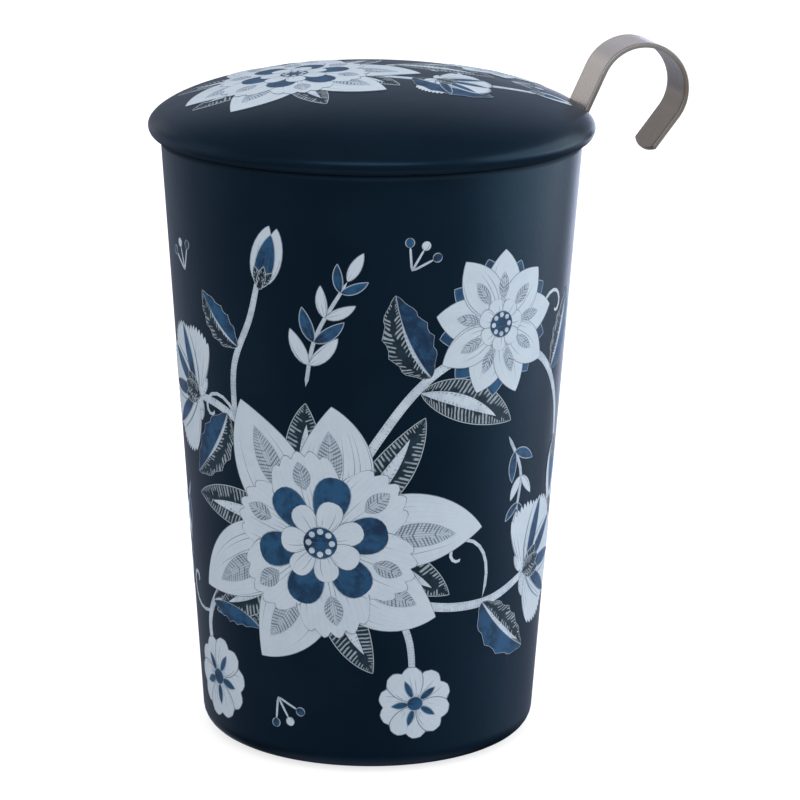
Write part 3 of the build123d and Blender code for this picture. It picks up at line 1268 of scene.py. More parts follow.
@dataclass
class Bouquet:
    """Motifs of the print, drawn as shapes."""

    shapes: list[Shape] = field(default_factory=list)

    def add(self, form: Form, ink: Ink, at: Point, heading: float, length: float, width: float,
            level: int, bend: float = 0.0, start: float = 0.0) -> None:
        """Add one shape.

        Args:
            form, ink: its outline and ink.
            at, heading: its root and direction in degrees.
            length, width: its size in millimetres.
            level: how high it lies over the others.
            bend: turn from its root to its tip in degrees.
            start: how far from the root along the heading it begins.
        """
        angle = math.radians(heading)
        moved = (at[0] + start * math.cos(angle), at[1] + start * math.sin(angle))
        self.shapes.append(Shape(form, ink, moved, heading, length, width, bend, level))

    @staticmethod
    def wobble(index: int, seed: float) -> float:
        """A fixed number from -1 to 1 for an index, so that no two petals are alike."""
        angle = (index + 1) * HASH[0] + seed * HASH[1]
        return math.fmod(abs(math.sin(angle)) * 437.585, 1.0) * 2 - 1

    def ring(self, form: Form, ink: Ink, at: Point, count: int, start: float, length: float,
             width: float, level: int, turn: float = 0.0, vary: float = 0.05,
             flat: bool = False) -> None:
        """Add shapes round a centre.

        Args:
            form, ink, at: outline, ink and centre.
            count: how many.
            start, length, width: distance from the centre, and size, before the variation.
            level: lowest level; neighbours lie on different ones unless flat.
            turn: heading of the first.
            vary: share by which sizes and headings differ.
            flat: whether all lie on one level, where they don't meet.
        """
        for i in range(count):
            seed = at[0] + 3 * at[1] + turn
            heading = turn + 360 * i / count + 45 * vary * self.wobble(i, seed)
            step = 0 if flat else (2 if count % 2 and i == count - 1 else i % 2)
            long = length * (1 + vary * self.wobble(i, seed + 1))
            wide = width * (1 + vary * self.wobble(i, seed + 2))
            self.add(form, ink, at, heading, long, wide, level + step, start=start)

    def stem(self, path: Sequence[Point], width: float, level: int = 0) -> None:
        """Add a stem.

        Args:
            path: points of its smooth middle line.
            width: its width in millimetres.
            level: how high it lies over the others.
        """
        length = sum((Vector(b) - Vector(a)).length for a, b in zip(path, path[1:]))
        stem = Shape(Form.STEM, Ink.STEM, path[0], 0.0, length, width, level=level, path=tuple(path))
        self.shapes.append(stem)

    def petal(self, at: Point, heading: float, start: float, length: float, width: float,
              level: int, bend: float) -> None:
        """Add a pointed white petal with a hatched patch, bent to one side.

        Args:
            at, heading, start: the flower's centre, and the petal's direction and distance.
            length, width, level, bend: as for any shape.
        """
        self.add(Form.FLAME, Ink.WHITE, at, heading, length, width, level, bend, start)
        angle = math.radians(heading + 0.3 * bend)
        out = start + 0.30 * length
        foot = (at[0] + out * math.cos(angle), at[1] + out * math.sin(angle))
        self.add(Form.SPEAR, Ink.HATCHED, foot, heading + 0.36 * bend, 0.50 * length, 0.34 * width,
                 level + 3, 0.5 * bend)

    def slit_leaf(self, at: Point, length: float, width: float, heading: float, bend: float = 0.0,
                  level: int = 2, start: float = 0.0) -> None:
        """Add a dark engraved leaf with a pale slit down its middle."""
        self.add(Form.LEAF, Ink.ENGRAVED, at, heading, length, width, level, bend, start)
        self.add(Form.SPEAR, Ink.STEM, at, heading, 0.80 * length, 0.30 * width, level + 1, bend, start)

    def bloom(self, at: Point, radius: float, turn: float = 0.0) -> None:
        """Add the large open flower: pointed and lobed petals by turns over dark leaves.

        Args:
            at, radius: its centre and size.
            turn: heading of its first petal.
        """
        petals = 6
        step = 360 / petals
        for i in range(petals):
            heading = turn + step * i
            long = radius * (1.0 + 0.13 * self.wobble(i, turn))
            bend = 26 if i % 2 else -24
            self.slit_leaf(at, 0.84 * long, 0.30 * radius, heading + 0.5 * step, -0.8 * bend, 4,
                           0.26 * radius)
            self.petal(at, heading, 0.10 * radius, long, 0.56 * radius, 6 + i % 2, bend)
        self.ring(Form.LOBED, Ink.WHITE, at, petals, 0.14 * radius, 0.56 * radius, 0.56 * radius, 11,
                  turn + 0.46 * step, 0.08)
        self.ring(Form.SPEAR, Ink.HATCHED, at, petals, 0.40 * radius, 0.22 * radius, 0.15 * radius,
                  13, turn + 0.46 * step, 0.10, True)
        self.ring(Form.OGEE, Ink.BLUE, at, petals, 0.10 * radius, 0.38 * radius, 0.27 * radius, 13,
                  turn, 0.08)
        self.ring(Form.OGEE, Ink.WHITE, at, petals + 1, 0.06 * radius, 0.25 * radius, 0.19 * radius,
                  15, turn + 9, 0.06)
        self.heart(at, 0.125 * radius, 18)

    def heart(self, at: Point, radius: float, level: int) -> None:
        """Add a flower's middle: a blue disc with a ring of stamens.

        Args:
            at, radius, level: its centre, size and lowest level.
        """
        self.add(Form.DISC, Ink.BLUE, at, 0, 2 * radius, 2 * radius, level, start=-radius)
        self.ring(Form.DISC, Ink.STEM, at, 8, 0.5 * radius, 0.36 * radius, 0.36 * radius,
                  level + 1, 0.0, 0.0, True)

    def blossom(self, at: Point, radius: float, turn: float = 0.0) -> None:
        """Add a five-petalled blossom with blue flashes.

        Args:
            at, radius: its centre and size.
            turn: heading of its first petal.
        """
        self.ring(Form.HEART, Ink.WHITE, at, 5, 0.08 * radius, 0.92 * radius, 1.06 * radius, 4, turn)
        self.ring(Form.SPEAR, Ink.BLUE, at, 5, 0.14 * radius, 0.54 * radius, 0.22 * radius, 7, turn,
                  0.08, True)
        self.add(Form.DISC, Ink.BLUE, at, 0, 0.42 * radius, 0.42 * radius, 10, start=-0.21 * radius)
        self.ring(Form.DISC, Ink.STEM, at, 5, 0.24 * radius, 0.13 * radius, 0.13 * radius, 11,
                  turn + 36, 0.0, True)

    def aster(self, at: Point, radius: float, petals: int, turn: float) -> None:
        """Add a medium flower: pointed petals over blue ones round a scalloped heart.

        Args:
            at, radius: its centre and size.
            petals: how many there are in each ring.
            turn: heading of its first petal.
        """
        step = 360 / petals
        wide = 5.2 * radius / petals
        self.ring(Form.LEAF, Ink.BLUE, at, petals, 0.16 * radius, 0.78 * radius, 0.8 * wide, 3,
                  turn + step / 2, 0.07)
        self.ring(Form.FLAME, Ink.WHITE, at, petals, 0.12 * radius, 0.90 * radius, wide, 6, turn, 0.08)
        self.ring(Form.SPEAR, Ink.HATCHED, at, petals, 0.34 * radius, 0.38 * radius, 0.30 * wide, 9,
                  turn, 0.06, True)
        self.ring(Form.OGEE, Ink.WHITE, at, 7, 0.10 * radius, 0.26 * radius, 0.26 * radius, 10, turn)
        self.heart(at, 0.19 * radius, 13)

    def fan(self, at: Point, radius: float, heading: float) -> None:
        """Add a carnation seen from the side: frilled petals spread from a dark calyx.

        Args:
            at, radius: the foot of its petals and its size.
            heading: the direction of its middle petal.
        """
        spread = 34
        for i in (-2, 2, -1, 1, 0):
            size = radius * (1.0 - 0.07 * abs(i) + 0.05 * self.wobble(i + 2, heading))
            self.add(Form.FRILLED, Ink.WHITE, at, heading + spread * i, size, 0.62 * radius,
                     7 - 2 * abs(i) + (i > 0), bend=9.0 * i)
            if i:
                turn = heading + spread * (i - math.copysign(0.5, i))
                self.add(Form.LEAF, Ink.BLUE, at, turn, 0.78 * radius, 0.18 * radius, 9,
                         start=0.1 * radius)
        for i in (-1, 1, 0):
            self.add(Form.LEAF, Ink.ENGRAVED, at, heading + 40 * i, 0.42 * radius, 0.22 * radius,
                     11 + (i == 0), bend=-20 * i, start=-0.08 * radius)
        for sign in (-1, 1):
            self.add(Form.SPEAR, Ink.STEM, at, heading + 150 * sign, 0.34 * radius, 0.12 * radius, 10,
                     bend=-60 * sign)

    def curl(self, at: Point, heading: float, size: float, hand: int = 1) -> None:
        """Add a tendril that winds up on itself.

        Args:
            at, heading: its root and first direction.
            size: its size in millimetres.
            hand: 1 to wind to the left, -1 to the right.
        """
        path = [at]
        angle = math.radians(heading)
        for i in range(13):
            step = size * 0.42 * (1 - i / 15)
            x, y = path[-1]
            path.append((x + step * math.cos(angle), y + step * math.sin(angle)))
            angle += hand * math.radians(10 + 3.2 * i)
        self.stem(path, 0.7)

    def tulip(self, at: Point, length: float, heading: float) -> None:
        """Add a tulip bud on its calyx.

        Args:
            at, heading: its foot and direction.
            length: its length in millimetres.
        """
        for sign in (-1, 1):
            self.add(Form.CUP, Ink.WHITE, at, heading + 17 * sign, length, 0.40 * length, 4,
                     bend=-26 * sign)
        self.add(Form.CUP, Ink.BLUE, at, heading, 0.86 * length, 0.36 * length, 6)
        for sign in (-1, 0, 1):
            self.add(Form.LEAF, Ink.ENGRAVED, at, heading + 34 * sign, 0.40 * length,
                     0.17 * length, 8, start=-0.08 * length)

    def leaf(self, at: Point, length: float, width: float, heading: float, bend: float = 0.0,
             level: int = 1) -> None:
        """Add a two-toned leaf with hooked edges and a pale midrib.

        Args:
            at, length, width, heading, bend, level: as for any shape.
        """
        self.add(Form.LEAF_LEFT, Ink.ENGRAVED, at, heading, length, width, level, bend)
        self.add(Form.LEAF_RIGHT, Ink.BLUE, at, heading, length, width, level, bend)
        self.add(Form.SPEAR, Ink.STEM, at, heading, 0.86 * length, 0.15 * width, level + 1, bend)

    def frond(self, path: Sequence[Point], pairs: int, length: float, first: Ink = Ink.WHITE) -> None:
        """Add a stem with pairs of small leaves, white and blue by turns, and one at its end.

        Args:
            path: points of the stem.
            pairs: how many pairs of leaves.
            length: length of the lowest leaf.
            first: ink of the lowest pair.
        """
        self.stem(path, 0.8, 1)
        inks = [Ink.WHITE, Ink.BLUE] if first is Ink.WHITE else [Ink.BLUE, Ink.WHITE]
        for i in range(pairs + 1):
            last = i == pairs
            place, direction = spline_point(path, 1.0 if last else 0.22 + 0.68 * i / max(1, pairs - 1))
            heading = math.degrees(math.atan2(direction.y, direction.x))
            if last:
                self.add(Form.LEAF, inks[i % 2], tuple(place), heading, 0.8 * length, 0.30 * length, 2)
                break
            size = length * (1 - 0.38 * i / pairs)
            for sign in (-1, 1):
                self.add(Form.LEAF, inks[i % 2], tuple(place), heading + 48 * sign, size,
                         0.36 * size, 2, bend=-22 * sign)

    def berries(self, at: Point, heading: float, size: float = 1.9, count: int = 3) -> None:
        """Add a fan of berries on thin stalks.

        Args:
            at, heading: its root and middle direction.
            size: a berry's diameter.
            count: how many berries.
        """
        for i in range(count):
            turn = heading + 34 * (i - (count - 1) / 2)
            stalk = 2.6 * size
            angle = math.radians(turn)
            end = (at[0] + stalk * math.cos(angle), at[1] + stalk * math.sin(angle))
            self.stem((at, end), 0.45, 0)
            self.add(Form.DISC, Ink.WHITE if i % 2 else Ink.BLUE, end, turn, size, size, 2,
                     start=-0.2 * size)


def settle(piece: bpy.types.Object, node: str, body: str, finish: Finish) -> None:
    """Dress a piece and fix it to the model.

    Args:
        piece: the piece.
        node: the model's node that it stands for, or nothing.
        body: the body that it rides on.
        finish: its finish.
    """
    finish.dress(piece)
    if node:
        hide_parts(node)
    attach(piece, body)
    LOG.info("%s: %d faces", piece.name, len(piece.data.polygons))


@dataclass
class Printer:
    """Lays a bouquet's shapes on a surface, one joined piece for each ink."""

    host: Host
    body: str
    prefix: str
    base_lift: float = 0.030
    level_lift: float = 0.014
    levels: int = 20
    root: float = 0.02
    blanks: dict[tuple[int, int], bpy.types.Mesh] = field(default_factory=dict)

    def blank(self, along: int, across: int) -> bpy.types.Mesh:
        """Add a unit grid, once for each number of faces.

        Args:
            along, across: its numbers of faces.

        Returns:
            The grid's mesh, to be copied.
        """
        if (along, across) not in self.blanks:
            bpy.ops.mesh.primitive_grid_add(
                x_subdivisions=along, y_subdivisions=across, size=2.0, calc_uvs=True
            )
            grid = bpy.context.object
            self.blanks[along, across] = grid.data
            bpy.data.objects.remove(grid)
        return self.blanks[along, across]

    def lay(self, shape: Shape, turn: float, seed: int) -> bpy.types.Object:
        """Make one shape on the surface.

        Args:
            shape: the flat shape.
            turn: how far it is carried round the upright axis, in radians.
            seed: its place in the list, for its own number.

        Returns:
            An open sheet at the shape's height, with its print values on the mesh.
        """
        mesh = self.blank(*shape.cells()).copy()
        height = self.base_lift + self.level_lift * shape.level
        top = self.base_lift + self.level_lift * self.levels
        spin = Matrix.Rotation(turn, 3, "Z")
        edges: list[float] = []
        for vertex in mesh.vertices:
            t = (vertex.co.x + 1) / 2
            t = (1 - math.cos(math.pi * t)) / 2 if not shape.path else t
            flat, edge = shape.point(t, vertex.co.y)
            vertex.co = spin @ self.host.lift(flat.x, flat.y, height)
            edges.append(edge)
        own = math.fmod(seed * GOLDEN_SHARE, 1.0)
        for name, values in (
            ("edge_mm", edges),
            ("span_mm", [shape.width] * len(edges)),
            ("length_mm", [shape.length] * len(edges)),
            ("own", [own] * len(edges)),
        ):
            mesh.attributes.new(name, "FLOAT", "POINT").data.foreach_set("value", values)
        obj = bpy.data.objects.new(f"{self.prefix}_shape", mesh)
        bpy.context.scene.collection.objects.link(obj)
        film = obj.vertex_groups.new(name="film")
        film.add(range(len(edges)), (height + self.root) / (top + self.root), "REPLACE")
        return obj

    def run(self, bouquet: Bouquet, turns: Sequence[float]) -> None:
        """Lay a bouquet, join its shapes by ink, and let them ride on the body.

        Args:
            bouquet: the shapes.
            turns: where it is repeated round the upright axis, in radians.
        """
        top = (self.base_lift + self.level_lift * self.levels + self.root) * MM
        for ink in Ink:
            sheets = [
                self.lay(shape, turn, seed)
                for turn in turns
                for seed, shape in enumerate(bouquet.shapes)
                if shape.ink is ink
            ]
            if not sheets:
                continue
            piece = Bench.join(f"{self.prefix}_{ink.value.name}", sheets)
            Bench.tidy(piece, recalculate=False)
            Bench.modify(piece, "SOLIDIFY", thickness=top, offset=-1.0, vertex_group="film",
                         use_even_offset=False)
            Bench.smooth(piece, 40)
            settle(piece, "", self.body, ink.value)


@dataclass
class Decoration:
    """The flowers on the mug's side and on the lid."""

    panels: int = 2

    @staticmethod
    def side_bouquet() -> Bouquet:
        """Draw one panel of the side, about 116 mm round at mid height and 8 to 110 mm up.

        Returns:
            The bouquet, with x from the middle of the front and y up, in millimetres.
        """
        b = Bouquet()
        b.stem([(-8, 50), (2, 68), (12, 80), (26, 87)], 1.8)
        b.stem([(-12, 56), (-22, 66), (-32, 71), (-42, 72)], 1.7)
        b.stem([(-8, 44), (8, 35), (24, 33), (38, 37)], 1.8)
        b.stem([(-14, 44), (-30, 36), (-38, 26), (-36, 15)], 1.6)
        b.stem([(26, 86), (40, 80), (48, 70), (50, 60)], 1.6)
        b.stem([(2, 40), (8, 28), (9, 16)], 1.4)
        b.stem([(-28, 69), (-28, 80), (-24, 90), (-22, 98)], 1.4)
        b.leaf((12, 80), 18, 10, 128, -30)
        b.leaf((-30, 70), 18, 10, -112, -30)
        b.leaf((24, 33), 18, 10, -60, 34)
        b.leaf((-36, 30), 15, 8, 20, -60)
        b.leaf((44, 77), 17, 9, 46, 30)
        b.leaf((-27, 84), 14, 7, 150, -26)
        b.slit_leaf((10, 77), 22, 8.5, -8, -26)
        b.frond([(-12, 78), (-10, 88), (-4, 99)], 4, 8.0)
        b.frond([(30, 66), (34, 58), (33, 50)], 3, 6.5, Ink.BLUE)
        b.frond([(-47, 52), (-51, 44), (-52, 34)], 4, 7.0, Ink.BLUE)
        b.berries((8, 101), 60)
        b.berries((-44, 96), 110)
        b.berries((-18, 14), -60)
        b.curl((24, 34), 76, 7, 1)
        b.curl((38, 81), 96, 7, -1)
        b.curl((-36, 28), 200, 6, -1)
        b.curl((-26, 66), 110, 6, 1)
        b.bloom((-9, 47), 27, 14)
        b.aster((27, 89), 14.5, 9, 5)
        b.fan((37, 37), 17, 18)
        b.fan((-40, 72), 16.5, 166)
        b.blossom((-35, 14), 8.5, -10)
        b.blossom((9.5, 14), 7.5, 40)
        b.tulip((-21.5, 97), 12, 76)
        b.tulip((50, 61), 13, -96)
        return b

    @staticmethod
    def lid_bouquet() -> Bouquet:
        """Draw the lid's design: a large flower left of the middle and sprays to the right.

        Returns:
            The bouquet, with x to the right of the lid's middle and y away, in millimetres.
        """
        b = Bouquet()
        b.stem([(-10, -3), (4, -8), (18, -8), (34, -3)], 1.6)
        b.stem([(2, 3), (12, 11), (22, 15)], 1.4)
        b.leaf((8, -8), 17, 10, -44, 40)
        b.fan((13, -8), 11, -26)
        b.slit_leaf((4, 5), 20, 8, 8, -26)
        b.berries((27, 3), 0)
        b.curl((14, -8), 52, 6, 1)
        b.bloom((-15, -3.5), 22, 10)
        b.aster((24, 16), 10, 8, 10)
        b.tulip((31, -3.5), 8, 12)
        return b

    def build(self) -> None:
        """Print both."""
        turns = [math.tau * i / self.panels for i in range(self.panels)]
        Printer(MugSide(), "mug", "mug").run(self.side_bouquet(), turns)
        Printer(LidTop(), "lid", "lid").run(self.lid_bouquet(), [0.0])


# ------------------------------------------------------------------ pieces


@dataclass
class Mug:
    """Both walls of the mug and the plug in its base."""

    segments: int = 256

    def outer_wall(self) -> bpy.types.Object:
        """Turn the outer shell: recessed base with a vent, tapered side, ledge for the liner.

        Returns:
            The shell.
        """
        m = MUG
        lean = math.tan(math.radians(m.taper_deg))
        flat_r = m.body_r(m.corner_r) - m.corner_r * math.hypot(1, lean)
        recess_r = flat_r - m.foot_ring
        ledge_z = m.rim_z - m.flange_thick
        corners = [
            (m.vent_r, m.recess, 0),
            (recess_r, m.recess, 0.6),
            (recess_r + m.recess, 0, 0.3),
            (m.body_r(0), 0, m.corner_r),
            (m.rim_r, m.rim_z, m.rim_round),
            (m.flange_r, m.rim_z, 0),
            (m.flange_r, ledge_z, 0),
            (m.body_r(ledge_z) - m.wall, ledge_z, 0),
            (m.body_r(m.base_thick) - m.wall, m.base_thick, 2.0),
            (m.vent_r, m.base_thick, 0),
        ]
        return Bench.lathe("navy_outer_wall", rounded(corners), self.segments)

    def liner(self) -> bpy.types.Object:
        """Turn the inner cup with its rim flange.

        Returns:
            The cup.
        """
        m = MUG
        wall = m.liner_wall * math.hypot(1, math.tan(math.radians(m.liner_taper_deg)))
        flange_z = m.rim_z - m.flange_thick
        corners = [
            (0, m.liner_under_z, 0),
            (m.disc_r, m.liner_under_z, 0),
            (m.liner_r(m.liner_under_z) + wall, m.liner_under_z, m.liner_corner_r),
            (m.liner_r(flange_z) + wall, flange_z, 0.5),
            (m.flange_r, flange_z, 0),
            (m.flange_r, m.rim_z, 0),
            (m.mouth_r, m.rim_z, m.rim_round),
            (m.liner_r(m.floor_z), m.floor_z, m.liner_corner_r),
            (m.disc_r, m.floor_z, 0),
            (0, m.floor_z, 0),
        ]
        return Bench.lathe("white_liner", rounded(corners), 192)

    def plug(self) -> bpy.types.Object:
        """Turn the vent plug: head, stem and barb.

        Returns:
            The plug.
        """
        m = MUG
        corners = [
            (0, m.plug_low_z, 0),
            (m.plug_dimple_r, m.plug_low_z, 0),
            (m.plug_dimple_r + 0.2, m.plug_low_z + m.plug_dimple, 0.1),
            (m.plug_head_r, m.plug_low_z, 0.3),
            (m.plug_head_r, m.recess, 0.1),
            (m.vent_r, m.recess, 0),
            (m.vent_r, m.base_thick, 0),
            (m.plug_waist_r, m.base_thick, 0.15),
            (m.vent_r, m.plug_high_z, 0.3),
            (0, m.plug_high_z, 0),
        ]
        return Bench.lathe("vent_stopper", rounded(corners, 2.0), 64)

    def build(self) -> None:
        """Make the mug's pieces, dress them and let them ride on the mug."""
        for piece, node, finish, slot in (
            (self.outer_wall(), "mug_outer_wall", NAVY, "navy_porcelain"),
            (self.liner(), "mug_inner_liner", WHITE, "white_porcelain"),
            (self.plug(), "vent_plug", SILICONE, "silicone"),
        ):
            settle(piece, node, "mug", finish)


@dataclass
class Lid:
    """The domed lid, with its collar and its notch for the strip."""

    segments: int = 256
    edge_steps: int = 12
    dome_steps: int = 56

    def blank(self) -> bpy.types.Object:
        """Turn the lid without its notch.

        Returns:
            The lid, closed all round.
        """
        size, rim_z = LID, MUG.rim_z
        hollow_r = size.collar_r - size.collar_wall
        edge_z = rim_z + size.edge_rise
        inside = [(hollow_r * s, size.dome_z(hollow_r * s, rim_z) - size.thick)
                  for s in (0, 0.15, 0.3, 0.45, 0.6, 0.72, 0.82, 0.9)]
        under = rounded([
            (*inside[-1], 0),
            (hollow_r, size.dome_z(hollow_r, rim_z) - size.thick, size.hollow_fillet),
            (hollow_r, size.collar_z, size.collar_round),
            (size.collar_r, size.collar_z, size.collar_round),
            (size.collar_r, rim_z, 0.3),
            (size.seat_r - 0.3, rim_z, 0),
        ])
        bulge = [
            (size.seat_r + (size.edge_r - size.seat_r) * math.sin(a),
             edge_z - size.edge_rise * math.cos(a))
            for a in (math.pi / 2 * i / self.edge_steps for i in range(self.edge_steps))
        ]
        turns = [math.pi / 2 * i / self.dome_steps for i in range(self.dome_steps)]
        radii = [size.edge_r * math.cos(a) ** (2 / size.fullness) for a in turns]
        dome = [(r, size.dome_z(r, rim_z)) for r in radii if r > 0.6] + [(0, size.top_z)]
        return Bench.lathe("navy_lid", inside + under[1:] + bulge + dome, self.segments)

    def cutter(self) -> bpy.types.Object:
        """Shape the room for the strip: a low slot under the seat and a leaning notch.

        Returns:
            The room as one solid.
        """
        size = LID
        low, high = size.collar_z - size.overshoot, size.top_z + size.overshoot / 2
        beyond = size.edge_r + size.overshoot
        lean = math.tan(math.radians(size.notch_lean_deg))
        bpy.ops.mesh.primitive_plane_add(size=1.0)
        obj = Bench.added("strip_room")
        side = [(x, z) for z in (low, size.slot_roof_z) for x in (size.slot_x, beyond)]
        for vertex, (x, z) in zip(obj.data.vertices, side):
            vertex.co = Vector((x, -size.slot_half, z)) * MM
        with Bench.editing(obj):
            across = {"value": (0, 2 * size.slot_half * MM, 0)}
            bpy.ops.mesh.extrude_region_move(TRANSFORM_OT_translate=across)
        Bench.tidy(obj)
        bpy.ops.mesh.primitive_cube_add(size=1.0)
        notch = Bench.added("notch_room")
        top_x = size.notch_x + (high - size.slot_roof_z) * lean
        for vertex in notch.data.vertices:
            inner, upper = vertex.co.x < 0, vertex.co.z > 0
            z = high if upper else size.slot_roof_z - 1.0
            x = beyond if not inner else (top_x if upper else size.notch_x - lean)
            vertex.co = Vector((x, math.copysign(size.slot_half, vertex.co.y), z)) * MM
        corners = [tuple(notch.data.vertices[i].co / MM for i in edge.vertices)
                   for edge in notch.data.edges]
        inner_edges = [max(a.x, b.x) < beyond - 1 and abs(a.z - b.z) > 1 for a, b in corners]
        Bench.mark(notch, "EDGE", inner_edges)
        with Bench.editing(notch, ""):
            bpy.ops.mesh.bevel(offset=size.notch_corner * MM, segments=6, affect="EDGES")
        Bench.tidy(notch)
        Bench.combine(obj, notch, "UNION")
        return obj

    def build(self) -> None:
        """Make the lid and let it ride on its own body."""
        lid = self.blank()
        Bench.combine(lid, self.cutter(), "DIFFERENCE")
        Bench.tidy(lid, recalculate=False, gap=2e-5)
        Bench.modify(lid, "BEVEL", width=LID.notch_round * MM, segments=3, limit_method="ANGLE",
                     angle_limit=math.radians(50), use_clamp_overlap=True)
        Bench.smooth(lid, 40)
        settle(lid, "lid", "lid", NAVY)


@dataclass
class Basket:
    """The perforated basket: side, hem, floor and foot ring."""

    def wall(self) -> bpy.types.Object:
        """Perforate a flat sheet, roll it into the tapered side and give it its thickness.

        Returns:
            The side, from the foot ring to the hem.
        """
        b = BASKET
        low, high = b.ring_z + b.plain_bottom, b.hem_z - b.plain_top
        width = math.tau * b.radius((low + high) / 2)
        columns = round(width / b.hole_pitch)
        rows = round((high - low) / (b.hole_pitch * ROW_SHARE))
        bpy.ops.mesh.primitive_grid_add(x_subdivisions=columns, y_subdivisions=rows, size=2.0)
        sheet = Bench.added("basket_sheet")
        centres = KDTree(len(sheet.data.vertices))
        drilled = []
        for vertex in sheet.data.vertices:
            row = round((vertex.co.y + 1) / 2 * rows)
            column = round((vertex.co.x + 1) / 2 * columns)
            x = ((column + row % 2 / 2) / columns - 0.5) * width
            vertex.co = Vector((x, row / rows * (high - low), 0))
            drilled.append(0 < row < rows and 0 < column < columns)
            if drilled[-1]:
                centres.insert(vertex.co, vertex.index)
        centres.balance()
        with Bench.editing(sheet, "SELECT", "VERT"):
            bpy.ops.mesh.quads_convert_to_tris(quad_method="SHORTEST_DIAGONAL")
        Bench.mark(sheet, "VERT", drilled)
        with Bench.editing(sheet, ""):
            bpy.ops.mesh.bevel(offset=b.hole_r, segments=2, affect="VERTICES", profile=b.round_profile)
        caps = [centres.find(face.center)[2] < b.hole_r * 0.95 for face in sheet.data.polygons]
        Bench.mark(sheet, "FACE", caps)
        with Bench.editing(sheet, ""):
            bpy.ops.mesh.delete(type="FACE")
        self.roll(sheet, low, width)
        Bench.tidy(sheet, gap=2e-5)
        Bench.modify(sheet, "SOLIDIFY", thickness=b.sheet * MM, offset=-1.0)
        bands = [self.band("low_band", b.ring_z, low), self.band("high_band", high, b.hem_z)]
        side = Bench.join("perforated_side", [sheet, *bands])
        Bench.smooth(side, 40)
        return side

    @staticmethod
    def roll(sheet: bpy.types.Object, low: float, width: float) -> None:
        """Bend the flat sheet round the basket's axis.

        Args:
            sheet: the sheet, still in millimetres.
            low: height of its lower edge.
            width: its length round the axis.
        """
        for vertex in sheet.data.vertices:
            z = low + vertex.co.y
            angle = math.tau * vertex.co.x / width
            r = BASKET.radius(z)
            vertex.co = Vector((r * math.cos(angle), r * math.sin(angle), z)) * MM

    @staticmethod
    def band(name: str, low: float, high: float) -> bpy.types.Object:
        """Turn a plain band of the side.

        Args:
            name: its name.
            low, high: heights of its edges.

        Returns:
            The band.
        """
        b = BASKET
        corners = [(b.radius(low), low, 0), (b.radius(high), high, 0),
                   (b.radius(high) - b.sheet, high, 0), (b.radius(low) - b.sheet, low, 0)]
        return Bench.lathe(name, rounded(corners), 128)

    @staticmethod
    def hem() -> bpy.types.Object:
        """Turn the folded hem, with the groove under its fold inside.

        Returns:
            The hem.
        """
        b = BASKET
        outer, inner = b.radius(b.top_z), b.radius(b.top_z) - b.hem_wall
        corners = [
            (b.radius(b.hem_z), b.hem_z, 0),
            (outer, b.top_z, b.hem_round),
            (inner, b.top_z, b.hem_round),
            (inner, b.hem_z, 0.5),
            (inner + 0.55, b.hem_z, 0.2),
            (inner + 0.62, b.hem_z + 0.5, 0.1),
            (inner + 0.72, b.hem_z, 0.1),
        ]
        return Bench.lathe("basket_hem", rounded(corners, 0.5), 192)

    @staticmethod
    def foot() -> bpy.types.Object:
        """Turn the foot ring, rounded where it stands.

        Returns:
            The ring.
        """
        b = BASKET
        corners = [
            (b.radius(b.foot_z) - b.ring_wall / 2, b.foot_z, 0),
            (b.radius(b.foot_z), b.foot_z, 0.5),
            (b.ring_r, b.ring_z, 0.15),
            (b.ring_r - b.ring_wall, b.ring_z, 0.15),
            (b.radius(b.foot_z) - b.ring_wall, b.foot_z, 0.5),
        ]
        return Bench.lathe("basket_foot_ring", rounded(corners, 0.5), 160)

    @staticmethod
    def floor() -> bpy.types.Object:
        """Cut staggered holes through a disc.

        Returns:
            The basket's floor.
        """
        b = BASKET
        bpy.ops.mesh.primitive_cylinder_add(
            vertices=96, radius=b.floor_r * MM, depth=b.sheet * MM,
            location=(0, 0, (b.ring_z + b.sheet / 2) * MM),
        )
        disc = Bench.added("perforated_floor")
        pitch = b.hole_pitch * b.floor_spread
        reach = int(b.floor_r / pitch) + 2
        places = []
        for j in range(-reach, reach + 1):
            for i in range(-reach, reach + 1):
                x, y = pitch * (i + j % 2 / 2), pitch * ROW_SHARE * j
                if math.hypot(x, y) < b.floor_r - b.floor_margin:
                    places.append(Matrix.Translation(Vector((x, y, b.ring_z)) * MM))
        bpy.ops.mesh.primitive_cylinder_add(vertices=12, radius=b.hole_r * MM, depth=4 * MM)
        drill = Bench.repeat("floor_drills", Bench.added("floor_drill"), places)
        Bench.combine(disc, drill, "DIFFERENCE")
        Bench.smooth(disc, 40)
        return disc

    def build(self) -> None:
        """Make the basket's pieces and let them ride on the infuser."""
        for piece, node in (
            (self.wall(), "basket_wall"),
            (self.hem(), "basket_rim"),
            (self.floor(), "basket_floor"),
            (self.foot(), "basket_foot"),
        ):
            settle(piece, node, "infuser", BASKET_STEEL)


